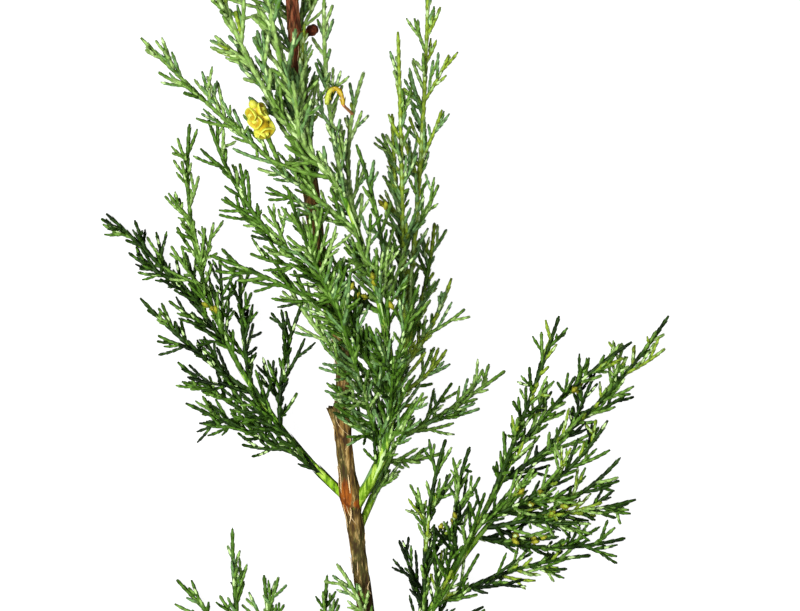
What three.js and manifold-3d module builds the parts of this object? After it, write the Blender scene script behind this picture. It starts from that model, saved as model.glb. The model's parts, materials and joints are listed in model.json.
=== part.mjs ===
// A cut branch of Italian cypress, lying on a table: a brown stem, its green boughs, and sprays of cord-like
// shoots on them, with two yellow pollen cones and a dried bud.
// Millimetres, +Z up from the table, +Y along the stem towards its tip. While the branch grows, x and y are
// counted from the fork, where four boughs leave the stem, and the table is at z = 0. At the end the whole
// branch is moved so that the origin is on the table, under the middle of its box.

import * as THREE from 'three';
import { mergeVertices } from 'three/addons/utils/BufferGeometryUtils.js';
import Module from 'manifold-3d';

const wasm = await Module();
wasm.setup();

// Gap between neighbouring pieces, and the width of a sliver that a joined skin can do without
const GAP = 0.3;
const SLIVER = 0.03;

// Stem: its line from the cut to the tip, and its thickness
const CUT_Y = -54;
const TIP_Y = 138;
const STEM_LENGTH = TIP_Y - CUT_Y;
const CUT_X = 6.4;
const STEM_LEAN = -21;
const STEM_BOW = -2;
const BOW_POWER = 1.5;
const STEM_KINK = { y: 28, by: 2.2, half: 11 };
const STEM_LIFT = 22;
const LIFT_POWER = 2.6;
const CUT_RADIUS = 1.6;
const TIP_RADIUS = 0.6;
const TAPER_POWER = 5;
const STEM_SIDES = 8;
const STEM_RINGS = 32;

// Swellings of the stem where boughs leave it: height above the fork, extra radius, and half length
const SWELLINGS = [
  { y: -42, extra: 0.4, half: 3 },
  { y: 0, extra: 0.4, half: 3.5 },
  { y: 14, extra: 0.25, half: 4 },
  { y: 88, extra: 0.2, half: 3 },
];

// Stub of a pruned side branch on the stem, and the dried bud near the top
const STUB = { y: 12, reach: [-2.3, 5, 0.8], radii: [1.4, 1.1], sides: 8 };
const BUD = { y: 90, reach: [3.4, 1.8, 0.6], neck: 0.62, radius: 1.25, sides: 6 };

// Boughs, by what they grow on: where each leaves it, its tip, its bow to the left of its way, the share of
// its way at which it bends if that isn't half, and its radii
const BOUGHS = {
  stem: [
    { name: 'left_bough', at: up(-2), tip: [-25, 29, 9.5], bow: 1.8, radii: [1.1, 0.55] },
    { name: 'front_bough', at: up(-3), tip: [-2.4, 61, 31], bow: -8.8, bend: 0.27, radii: [1.4, 0.6] },
    { name: 'back_bough', at: up(-9), tip: [9, 10, 5], bow: 0, radii: [0.9, 0.6] },
    { name: 'lower_right_bough', at: up(-42.6), tip: [32.8, 8, 12], bow: -0.6, radii: [1.2, 0.6] },
    { name: 'lower_left_bough', at: up(-41.5), tip: [-25, -29.4, 5], bow: 1, radii: [1, 0.55] },
  ],
  front_bough: [{ name: 'right_bough', at: 0.12, tip: [12, 44.6, 14], bow: -2, radii: [0.9, 0.55] }],
  lower_right_bough: [
    { name: 'lower_right_side_bough', at: 0.5, tip: [29.8, -4.4, 7], bow: 0.4, radii: [0.85, 0.55] },
  ],
};
const BOUGH_TAPER = 2;
const BOUGH_SIDES = 6;
const BOUGH_RINGS = 6;

// Height of the centreline of a twig that lies on the table
const ON_TABLE = 0.6;

// Sprays, by what they grow on: where the axis of each leaves it, its tip, its bow, and its longest side twig
const SPRAYS = {
  left_bough: [
    { name: 'left_low_spray', at: 0.3, tip: [-34, 17.4, ON_TABLE], bow: 0, reach: 7 },
    { name: 'left_lower_middle_spray', at: 0.48, tip: [-35.5, 25.8, 3], bow: 1, reach: 8 },
    { name: 'left_middle_spray', at: 0.7, tip: [-43, 38.8, 5], bow: 1, reach: 8 },
    { name: 'left_inner_spray', at: 0.52, tip: [-10.2, 37, 13], bow: 1.4, reach: 9 },
    { name: 'left_outer_spray', at: 1, tip: [-50.2, 56, ON_TABLE], bow: -1, reach: 12 },
    { name: 'left_tall_spray', at: 0.86, tip: [-32.4, 73.6, 16], bow: 4, reach: 11 },
    { name: 'left_upper_spray', at: 0.77, tip: [-22.8, 44.4, 5], bow: 0.6, reach: 7 },
  ],
  front_bough: [
    { name: 'front_top_spray', at: 1, tip: [-26.8, 104.4, 37], bow: 3.6, reach: 15 },
    { name: 'front_upper_left_spray', at: 0.9, tip: [-41.2, 89.8, 31], bow: 1, reach: 11 },
    { name: 'front_middle_left_spray', at: 0.7, tip: [-28, 73.8, 29], bow: 6, reach: 12 },
    { name: 'front_lower_left_spray', at: 0.6, tip: [-28, 47.2, 25], bow: -1.6, reach: 10 },
    { name: 'front_low_spray', at: 0.24, tip: [-3, 38.4, 32], bow: 0, reach: 9 },
    { name: 'front_centre_spray', at: 0.46, tip: [-12.4, 60.4, 35], bow: 2, reach: 11 },
    { name: 'front_right_spray', at: 0.94, tip: [-5.4, 99, 22], bow: 1.6, reach: 6 },
    { name: 'front_cone_spray', at: 0.86, tip: [2.4, 83.6, 20], bow: 3, reach: 6 },
    { name: 'front_right_low_spray', at: 0.4, tip: [13.4, 41.4, 27], bow: 1, reach: 10 },
    { name: 'front_right_middle_spray', at: 0.62, tip: [1, 69, 28], bow: -2, reach: 9 },
  ],
  right_bough: [
    { name: 'right_high_spray', at: 1, tip: [15.4, 108, 13], bow: -0.6, reach: 10 },
    { name: 'right_tall_spray', at: 0.6, tip: [9.2, 91.6, 22], bow: -0.2, reach: 7 },
    { name: 'right_low_spray', at: 0.54, tip: [20, 42.8, 8], bow: -1, reach: 7 },
    { name: 'right_outer_spray', at: 0.64, tip: [16.6, 54, 3], bow: -1, reach: 7 },
    { name: 'right_inner_spray', at: 0.84, tip: [8, 76, 7], bow: 0.6, reach: 6 },
    { name: 'right_lower_spray', at: 0.42, tip: [19, 28.4, 8], bow: -1, reach: 6 },
  ],
  back_bough: [
    { name: 'back_spray', at: 1, tip: [31, 24, ON_TABLE], bow: -0.5, reach: 8 },
    { name: 'back_low_spray', at: 0.78, tip: [18.6, 7.4, 2], bow: -0.5, reach: 3 },
  ],
  lower_right_bough: [
    { name: 'lower_right_top_spray', at: 0.88, tip: [63.6, 35.2, 11], bow: -2.6, reach: 12 },
    { name: 'lower_right_crown_spray', at: 1, tip: [56, 30, 15], bow: 1.4, reach: 9 },
    { name: 'lower_right_spike_spray', at: 0.8, tip: [41.2, 35.2, 21], bow: -0.4, reach: 6 },
    { name: 'lower_right_middle_spray', at: 0.73, tip: [51, 14.4, 18], bow: -3, reach: 10 },
    { name: 'lower_right_low_spray', at: 0.38, tip: [48.4, -13.6, ON_TABLE], bow: 2, reach: 9 },
    { name: 'lower_right_inner_spray', at: 0.34, tip: [18.8, 10.4, 11], bow: 1.8, reach: 11 },
    { name: 'lower_right_near_spray', at: 0.56, tip: [23.6, 9, 15], bow: 1.5, reach: 9 },
    { name: 'lower_right_bottom_spray', at: 0.22, tip: [26.6, -24, ON_TABLE], bow: 0, reach: 7 },
  ],
  lower_right_side_bough: [
    { name: 'lower_right_outer_spray', at: 1, tip: [57.4, -2, 5], bow: -1.4, reach: 11 },
    { name: 'lower_right_curved_spray', at: 0.75, tip: [53.8, 6.6, 11], bow: -3, reach: 8 },
    { name: 'lower_right_base_spray', at: 0.6, tip: [55.4, -10, 2], bow: -2, reach: 10 },
  ],
  lower_left_bough: [
    { name: 'lower_left_outer_spray', at: 1, tip: [-35.8, -18.6, ON_TABLE], bow: 0, reach: 6 },
    { name: 'lower_left_tall_spray', at: 0.92, tip: [-24.2, -7.8, 8], bow: 0.4, reach: 4 },
    { name: 'lower_left_inner_spray', at: 0.7, tip: [-18, -17.4, 3], bow: 0, reach: 6 },
    { name: 'lower_left_near_spray', at: 0.32, tip: [-5.2, -17.6, 2], bow: 0.5, reach: 6 },
  ],
  stem: [
    { name: 'lower_front_spray', at: up(-37), tip: [-3, -14.2, 18], bow: -2, reach: 7 },
    { name: 'front_crown_spray', at: up(62), tip: [-17.2, 103.2, 39], bow: 0.5, reach: 12 },
    { name: 'under_spray', at: up(27), tip: [-13, 42, 18], bow: 0.8, reach: 6 },
    { name: 'top_left_spray', at: up(93), tip: [-44, 126, 11], bow: 1, reach: 12 },
    { name: 'top_right_spray', at: up(97), tip: [9, 136, 14], bow: -2, reach: 12 },
    { name: 'top_back_spray', at: up(88), tip: [-6, 124, ON_TABLE], bow: 0, reach: 12 },
    { name: 'top_front_spray', at: up(108), tip: [-22, 148, 34], bow: 1, reach: 11 },
    { name: 'top_side_spray', at: up(116), tip: [-34, 152, 16], bow: 1, reach: 10 },
    { name: 'leader_spray', at: 1, tip: [-17, 164, 22], bow: 0, reach: 10 },
  ],
};
const AXIS = { radii: [0.9, 0.6], sides: 4, rings: 4 };

// The rule of growth, for the side twigs on a spray's axis and for the shoots on those twigs. They stand
// from `first` after the parent's root to `last` before its tip, and get shorter towards the tip. Rolls are
// their places round the parent, in degrees from its left, each with its share of the longest twig.
const ORDERS = [
  {
    first: 5,
    last: 6,
    gap: 4.2,
    rolls: [0, 180, 80, 10, 190, 280],
    shares: [1, 1, 0.55, 0.9, 0.9, 0.55],
    rollSpread: 40,
    angle: 29,
    angleSpread: 14,
    shortest: 3.4,
    narrowing: 0.7,
    radii: [0.46, 0.58],
    sides: 4,
    rings: 2,
  },
  {
    first: 2.6,
    last: 3.4,
    gap: 4.2,
    rolls: [0, 180],
    shares: [1, 1],
    rollSpread: 90,
    angle: 30,
    angleSpread: 14,
    shortest: 2.6,
    narrowing: 1,
    radii: [0.34, 0.55],
    sides: 3,
    rings: 2,
  },
];
const SIDE_SHARE = 0.5;
const SIZE_SPREAD = [0.75, 1.15];
const PLACE_SPREAD = 0.4;
const FOLLOW = 0.3;
const RISE = 0.25;

// Pollen cones, by the spray they stand on: the place on its axis, the cone's tip, and its width and length
const CONES = {
  front_upper_left_spray: [{ name: 'pollen_cone', at: 0.33, tip: [-19, 76.4, 37], width: 5.6, length: 7.6 }],
  front_cone_spray: [{ name: 'small_pollen_cone', at: 0.76, tip: [-2, 79.6, 28], width: 2.2, length: 4 }],
};
const STALK_RADII = [0.5, 0.42];
const STALK_SIDES = 5;
const SCALE_RINGS = 3;
const SCALES_PER_RING = 3;

// Parts of a cone, as shares of its width or length
const CORE_RADIUS = 0.36;
const SCALE_RADIUS = 0.36;
const SCALE_SHAPE = [1, 0.9, 0.55];
const SCALE_TILT = -0.3;
const RING_SPREAD = 0.66;
const RING_OUT = 0.32;
const RING_CURVE = 1.8;

const BARK = { color: 0x6c562a, roughness: 0.85 };
const GREEN_BARK = { color: 0x67822f, roughness: 0.7 };
const FOLIAGE = { color: 0x557a33, roughness: 0.6 };
const POLLEN = { color: 0xc9b41e, roughness: 0.7 };
const DRY = { color: 0x3a1d10, roughness: 0.85 };

const X_AXIS = new THREE.Vector3(1, 0, 0);
const Z_AXIS = new THREE.Vector3(0, 0, 1);
const Y_AXIS = new THREE.Vector3(0, 1, 0);
const FULL_TURN = 2 * Math.PI;

// The stem's share, from the cut to the tip, at a height above the fork
function up(y) {
  return (y - CUT_Y) / STEM_LENGTH;
}

// The rows of a table that is kept by what they grow on
const listed = (table) => Object.entries(table).flatMap(([on, rows]) => rows.map((row) => ({ on, ...row })));

const lerp = THREE.MathUtils.lerp;
const radians = THREE.MathUtils.degToRad;
const point = (xyz) => new THREE.Vector3(...xyz);

// A number from 0 to 1 that belongs to a twig's key and to the purpose n
const draw = (key, n) => THREE.MathUtils.seededRandom(key * 8 + n);

// The stem's centreline: it leans and bows to the left, kinks to the right above the stub, and rises off the
// table from its cut end
class StemLine extends THREE.Curve {
  getPoint(t, target = new THREE.Vector3()) {
    const y = CUT_Y + STEM_LENGTH * t;
    const kink = STEM_KINK.by * Math.exp(-(((y - STEM_KINK.y) / STEM_KINK.half) ** 2));
    const x = CUT_X + STEM_LEAN * t + STEM_BOW * Math.sin(Math.PI * t ** BOW_POWER) + kink;
    const z = CUT_RADIUS + STEM_LIFT * (1 - (1 - t) ** LIFT_POWER);
    return target.set(x, y, z);
  }
}

function stemRadius(t) {
  const y = CUT_Y + STEM_LENGTH * t;
  const plain = lerp(CUT_RADIUS, TIP_RADIUS, t ** TAPER_POWER);
  return SWELLINGS.reduce((sum, s) => sum + s.extra * Math.exp(-(((y - s.y) / s.half) ** 2)), plain);
}

// A path from start to tip that bows to the left of its way, seen from above, and bends at a share of its way
function bowedPath(start, tip, bow, bend = 0.5) {
  const left = new THREE.Vector3(start.y - tip.y, tip.x - start.x, 0).normalize();
  const middle = start.clone().lerp(tip, bend).addScaledVector(left, 2 * bow);
  return new THREE.QuadraticBezierCurve3(start, middle, tip);
}

// The share of a tube's length at a step from 0 to 1: the rings of a pointed one are closer near its point
const ringShare = (step, pointed) => (pointed ? 1 - (1 - step) ** 2 : step);

// A closed tube along a curve, with a flat end or a pointed one
function tube({ curve, radiusAt, sides, rings, pointed = false }) {
  const shape = pointed
    ? new THREE.ConeGeometry(1, 1, sides, rings, false, Math.PI / sides)
    : new THREE.CylinderGeometry(1, 1, 1, sides, rings, false, Math.PI / sides);
  const spots = shape.getAttribute('position');
  const reference = Math.abs(curve.getTangentAt(0).z) > 0.8 ? X_AXIS : Z_AXIS;
  for (let i = 0; i < spots.count; i++) {
    const step = spots.getY(i) + 0.5;
    const along = ringShare(step, pointed);
    const tangent = curve.getTangentAt(along);
    const across = tangent.clone().cross(reference).normalize();
    const upward = across.clone().cross(tangent);
    const flat = new THREE.Vector2(spots.getX(i), spots.getZ(i)).normalize().multiplyScalar(radiusAt(along));
    const spot = curve.getPointAt(along).addScaledVector(across, flat.x).addScaledVector(upward, flat.y);
    spots.setXYZ(i, spot.x, spot.y, spot.z);
  }
  return shape;
}

// Geometry to a solid, and back
function solidOf(geometry) {
  geometry.deleteAttribute('normal');
  geometry.deleteAttribute('uv');
  const merged = mergeVertices(geometry, 1e-4);
  const vertProperties = merged.getAttribute('position').array;
  const triVerts = Uint32Array.from(merged.index.array);
  return new wasm.Manifold(new wasm.Mesh({ numProp: 3, vertProperties, triVerts }));
}

function addMesh(name, solid, look) {
  const { vertProperties, triVerts } = solid.getMesh();
  const geometry = new THREE.BufferGeometry();
  geometry.setAttribute('position', new THREE.BufferAttribute(vertProperties, 3));
  geometry.setIndex(new THREE.BufferAttribute(triVerts, 1));
  geometry.computeVertexNormals();
  const mesh = new THREE.Mesh(geometry, new THREE.MeshStandardMaterial({ ...look, metalness: 0 }));
  mesh.name = name;
  branch.add(mesh);
}

// Solids joined into one body, with the slivers along the seams merged into their neighbours.
// A loose scrap is dropped, and so is the skin of a sealed hollow.
function fuse(solids) {
  const bodies = wasm.Manifold.union(solids).asOriginal().simplify(SLIVER).decompose();
  return bodies.reduce((best, body) => (body.volume() > best.volume() ? body : best));
}

// Limbs that others grow on, and the room that is taken: straight stretches with their owner and radius
const limbs = new Map();
const taken = [];

function addLimb(name, limb) {
  limbs.set(name, limb);
  limb.around = roomAround(limb);
  taken.push(...stretches(name, limb));
}

// A limb made thicker by the gap, and longer by it at the tip, to cut from what grows there
function roomAround({ curve, radiusAt, sides, rings }) {
  const tip = curve.getPointAt(1);
  const end = new THREE.LineCurve3(tip, tip.clone().addScaledVector(curve.getTangentAt(1), GAP));
  const body = tube({ curve, radiusAt: (t) => radiusAt(t) + GAP, sides, rings });
  const cap = tube({ curve: end, radiusAt: () => radiusAt(1) + GAP, sides, rings: 1 });
  return solidOf(body).add(solidOf(cap));
}

function stretches(owner, { curve, radiusAt, rings, pointed }) {
  const shares = Array.from({ length: rings + 1 }, (_, i) => ringShare(i / rings, pointed));
  return shares.slice(1).map((share, i) => ({
    owner,
    line: new THREE.Line3(curve.getPointAt(shares[i]), curve.getPointAt(share)),
    radius: Math.max(radiusAt(shares[i]), radiusAt(share)),
  }));
}

// The first owner, other than those excused, whose room a list of stretches comes too close to
function blockedBy(list, excused) {
  const near = (a, b) => a.line.distanceSqToLine3(b.line) < (a.radius + b.radius + GAP) ** 2;
  return taken.find((t) => !excused.includes(t.owner) && list.some((s) => near(s, t)))?.owner;
}

// The start of a twig on its parent: inside it, or just past its tip
function startOn({ on, at, radius }) {
  const { curve } = limbs.get(on);
  const start = curve.getPoint(at);
  return at < 1 ? start : start.addScaledVector(curve.getTangent(1), GAP + radius / 2);
}

// The side twigs of one twig. Each is skipped where it would touch another piece.
function sideTwigs(parent, owner, order) {
  const rule = ORDERS[order];
  const { curve, length } = parent;
  const twigs = [];
  const count = Math.floor((length - rule.first - rule.last) / rule.gap) + 1;
  for (let k = 0; k < count; k++) {
    const key = parent.key * 64 + k + 1;
    const share = (rule.first + rule.gap * (k + PLACE_SPREAD * (draw(key, 0) - 0.5))) / length;
    const rank = k % rule.rolls.length;
    const longest = parent.reach * (1 - share) ** rule.narrowing * rule.shares[rank];
    const twig = sideTwig(rule, curve.getPointAt(share), curve.getTangentAt(share), {
      key,
      size: (longest + rule.shortest) * lerp(...SIZE_SPREAD, draw(key, 1)),
      roll: radians(rule.rolls[rank] + rule.rollSpread * (draw(key, 2) - 0.5)),
      angle: radians(rule.angle + rule.angleSpread * (draw(key, 3) - 0.5)),
    });
    const room = stretches(owner, twig);
    if (blockedBy(room, [owner])) continue;
    taken.push(...room);
    twigs.push(twig);
    if (order + 1 < ORDERS.length) twigs.push(...sideTwigs(twig, owner, order + 1));
  }
  return twigs;
}

// One side twig: it leaves at an angle, then turns to follow its parent and to rise along the branch
function sideTwig(rule, start, tangent, { key, size, roll, angle }) {
  const left = Z_AXIS.clone().cross(tangent).normalize();
  const front = tangent.clone().cross(left);
  const outward = left.multiplyScalar(Math.cos(roll)).addScaledVector(front, Math.sin(roll));
  const way = tangent.clone().multiplyScalar(Math.cos(angle)).addScaledVector(outward, Math.sin(angle));
  const turned = way.clone().addScaledVector(tangent, FOLLOW).addScaledVector(Y_AXIS, RISE).normalize();
  const middle = aboveTable(start.clone().addScaledVector(way, size / 2));
  const tip = aboveTable(middle.clone().addScaledVector(turned, size / 2));
  const curve = new THREE.QuadraticBezierCurve3(start, middle, tip);
  return cord(curve, { ...rule, key, reach: SIDE_SHARE * size });
}

// A pointed, cord-like twig along a curve, and how long the longest twig on its own sides may be
function cord(curve, { key, reach, radii, sides, rings }) {
  const radiusAt = (t) => lerp(...radii, t);
  return { key, reach, curve, length: curve.getLength(), radiusAt, sides, rings, pointed: true };
}

function aboveTable(spot) {
  spot.z = Math.max(spot.z, ON_TABLE);
  return spot;
}

// Stem, with the stub of a pruned branch fused to its side
function makeStem() {
  const stem = { curve: new StemLine(), radiusAt: stemRadius, sides: STEM_SIDES, rings: STEM_RINGS };
  addLimb('stem', stem);
  const foot = stem.curve.getPoint(up(STUB.y));
  const stubLine = new THREE.LineCurve3(foot, foot.clone().add(point(STUB.reach)));
  const radiusAt = (t) => lerp(...STUB.radii, t);
  const stub = tube({ curve: stubLine, radiusAt, sides: STUB.sides, rings: 1 });
  addMesh('stem', fuse([solidOf(tube(stem)), solidOf(stub)]), BARK);
}

function makeBough({ name, on, at, tip, bow, bend, radii }) {
  const curve = bowedPath(startOn({ on, at }), point(tip), bow, bend);
  const radiusAt = (t) => lerp(...radii, 1 - (1 - t) ** BOUGH_TAPER);
  const bough = { curve, radiusAt, sides: BOUGH_SIDES, rings: BOUGH_RINGS };
  addMesh(name, fuse([solidOf(tube(bough)).subtract(limbs.get(on).around)]), GREEN_BARK);
  addLimb(name, bough);
}

// The axis of a spray. It takes its room before any side twig does.
function makeAxis({ name, on, at, tip, bow, reach }, index) {
  const curve = bowedPath(startOn({ on, at, radius: AXIS.radii[0] }), point(tip), bow);
  const axis = { name, on, ...cord(curve, { ...AXIS, key: index + 1, reach }) };
  const room = stretches(name, axis);
  const blocker = blockedBy(room.slice(1), [name, on]);
  if (blocker) throw new Error(`the axis of ${name} touches ${blocker}`);
  taken.push(...room);
  limbs.set(name, axis);
  return axis;
}

// A spray: its axis, fused with the twigs that branch from it
function makeSpray(axis) {
  const twigs = [axis, ...sideTwigs(axis, axis.name, 0)];
  const spray = fuse(twigs.map((twig) => solidOf(tube(twig))));
  addMesh(axis.name, fuse([spray.subtract(limbs.get(axis.on).around)]), FOLIAGE);
}

// The scales of a pollen cone that stands on the origin's Y axis, in rings, each ring turned against the next
function coneScales(width, length) {
  const scales = [];
  for (let ring = 0; ring < SCALE_RINGS; ring++) {
    const level = ring / (SCALE_RINGS - 1) - 0.5;
    const out = RING_OUT * width * Math.cos(level * RING_CURVE);
    for (let i = 0; i < SCALES_PER_RING; i++) {
      const turn = FULL_TURN * ((i + (ring % 2) / 2) / SCALES_PER_RING);
      const scale = new THREE.OctahedronGeometry(SCALE_RADIUS * width).scale(...SCALE_SHAPE);
      scales.push(scale.rotateX(SCALE_TILT).translate(0, RING_SPREAD * length * level, out).rotateY(turn));
    }
  }
  return scales;
}

// A pollen cone on its stalk: an egg-shaped core with rings of shield-shaped scales
function makeCone({ name, on, at, tip, width, length }) {
  const parent = limbs.get(on);
  const foot = parent.curve.getPoint(at);
  const way = point(tip).sub(foot).normalize();
  const middle = point(tip).addScaledVector(way, -length / 2);
  taken.push({ owner: name, line: new THREE.Line3(foot, middle), radius: STALK_RADII[0] });
  taken.push({ owner: name, line: new THREE.Line3(middle, point(tip)), radius: width / 2 });
  const stalk = tube({
    curve: new THREE.LineCurve3(foot, middle),
    radiusAt: (t) => lerp(...STALK_RADII, t),
    sides: STALK_SIDES,
    rings: 1,
  });
  const core = new THREE.SphereGeometry(CORE_RADIUS * width, 6, 4).scale(1, length / width, 1);
  const turnTo = new THREE.Quaternion().setFromUnitVectors(Y_AXIS, way);
  const place = (piece) => piece.applyQuaternion(turnTo).translate(...middle);
  const head = [core, ...coneScales(width, length)].map(place);
  addMesh(name, fuse([fuse([stalk, ...head].map(solidOf)).subtract(roomAround(parent))]), POLLEN);
}

// The dried bud: a ball on a short neck
function makeBud() {
  const { curve, around } = limbs.get('stem');
  const foot = curve.getPoint(up(BUD.y));
  const end = foot.clone().add(point(BUD.reach));
  taken.push({ owner: 'dried_bud', line: new THREE.Line3(foot, end), radius: BUD.radius });
  const line = new THREE.LineCurve3(foot, end);
  const neck = tube({ curve: line, radiusAt: () => BUD.neck, sides: BUD.sides, rings: 1 });
  const ball = new THREE.IcosahedronGeometry(BUD.radius, 1).translate(...end);
  addMesh('dried_bud', fuse([fuse([solidOf(neck), solidOf(ball)]).subtract(around)]), DRY);
}

const branch = new THREE.Group();
makeStem();
listed(BOUGHS).forEach(makeBough);
const axes = listed(SPRAYS).map(makeAxis);
listed(CONES).forEach(makeCone);
makeBud();
axes.forEach(makeSpray);

// Origin on the table, under the middle of the box
const box = new THREE.Box3().setFromObject(branch);
const middle = box.getCenter(new THREE.Vector3());
branch.position.set(-middle.x, -middle.y, -box.min.z);

export default branch;
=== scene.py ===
"""The looks of a cut branch of Italian cypress that lies on a pale floor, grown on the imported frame.

Lengths are millimetres while the branch grows, with x and y counted from the fork, where boughs leave the
stem, and z from the floor. A mesh is moved to the frame's origin and turned to metres when it is made.
"""

import json
import math

import bpy
import numpy as np
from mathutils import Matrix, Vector


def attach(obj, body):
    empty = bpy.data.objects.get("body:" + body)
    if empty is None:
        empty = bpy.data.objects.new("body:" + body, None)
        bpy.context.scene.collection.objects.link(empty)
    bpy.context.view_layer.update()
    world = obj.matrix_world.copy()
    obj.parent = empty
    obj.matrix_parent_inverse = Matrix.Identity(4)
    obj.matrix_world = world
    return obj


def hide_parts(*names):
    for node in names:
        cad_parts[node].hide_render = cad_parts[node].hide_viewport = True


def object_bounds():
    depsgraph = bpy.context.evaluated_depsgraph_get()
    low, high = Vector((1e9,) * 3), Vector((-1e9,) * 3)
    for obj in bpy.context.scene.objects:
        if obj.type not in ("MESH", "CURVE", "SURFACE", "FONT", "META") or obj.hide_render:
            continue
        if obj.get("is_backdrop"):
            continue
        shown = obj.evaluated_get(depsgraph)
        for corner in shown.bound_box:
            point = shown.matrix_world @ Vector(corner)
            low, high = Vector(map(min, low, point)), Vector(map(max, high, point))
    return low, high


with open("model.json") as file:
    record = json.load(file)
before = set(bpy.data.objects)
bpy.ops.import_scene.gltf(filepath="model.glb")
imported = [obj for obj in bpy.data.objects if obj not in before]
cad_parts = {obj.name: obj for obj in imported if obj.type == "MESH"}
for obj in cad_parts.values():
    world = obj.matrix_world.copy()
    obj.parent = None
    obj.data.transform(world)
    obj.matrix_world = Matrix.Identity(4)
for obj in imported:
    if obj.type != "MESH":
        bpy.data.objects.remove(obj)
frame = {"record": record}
CAD_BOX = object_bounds()

# Stem: its line from the cut to the tip, and its thickness
CUT_Y = -54
TIP_Y = 138
STEM_LENGTH = TIP_Y - CUT_Y
CUT_X = 6.4
STEM_LEAN = -21
STEM_BOW = -2
BOW_POWER = 1.5
STEM_KINK = dict(y=28, by=2.2, half=11)
STEM_LIFT = 22
LIFT_POWER = 2.6
CUT_RADIUS = 1.6
TIP_RADIUS = 0.6
TAPER_POWER = 5
STEM_RINGS = 32

# Swellings of the stem where boughs leave it: height above the fork, extra radius, and half length
SWELLINGS = [(-42, 0.4, 3), (0, 0.4, 3.5), (14, 0.25, 4), (88, 0.2, 3)]

# Stub of a pruned side branch on the stem, and the dried bud near the top
STUB = dict(y=12, reach=(-2.3, 5, 0.8), radii=(1.4, 1.1))
BUD = dict(y=90, reach=(3.4, 1.8, 0.6), radius=1.25)

# The gap that twigs of different sprays keep, and the height of the line of a twig that lies on the floor
GAP = 0.3
ON_FLOOR = 0.6


def up(y):
    """The stem's share, from the cut to the tip, at a height above the fork."""
    return (y - CUT_Y) / STEM_LENGTH


# Boughs, by what they grow on: where each leaves it, its tip, its bow to the left of its way, and its radii.
# Then the share of its way at which one bends, if that isn't half.
BOUGHS = {
    "stem": {
        "left_bough": (up(-2), (-25, 29, 9.5), 1.8, (1.1, 0.55)),
        "front_bough": (up(-3), (-2.4, 61, 31), -8.8, (1.4, 0.6)),
        "back_bough": (up(-9), (9, 10, 5), 0, (0.9, 0.6)),
        "lower_right_bough": (up(-42.6), (32.8, 8, 12), -0.6, (1.2, 0.6)),
        "lower_left_bough": (up(-41.5), (-25, -29.4, 5), 1, (1, 0.55)),
    },
    "front_bough": {"right_bough": (0.12, (12, 44.6, 14), -2, (0.9, 0.55))},
    "lower_right_bough": {"lower_right_side_bough": (0.5, (29.8, -4.4, 7), 0.4, (0.85, 0.55))},
}
BENDS = dict(front_bough=0.27)
BOUGH_TAPER = 2
BOUGH_RINGS = 6

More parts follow.
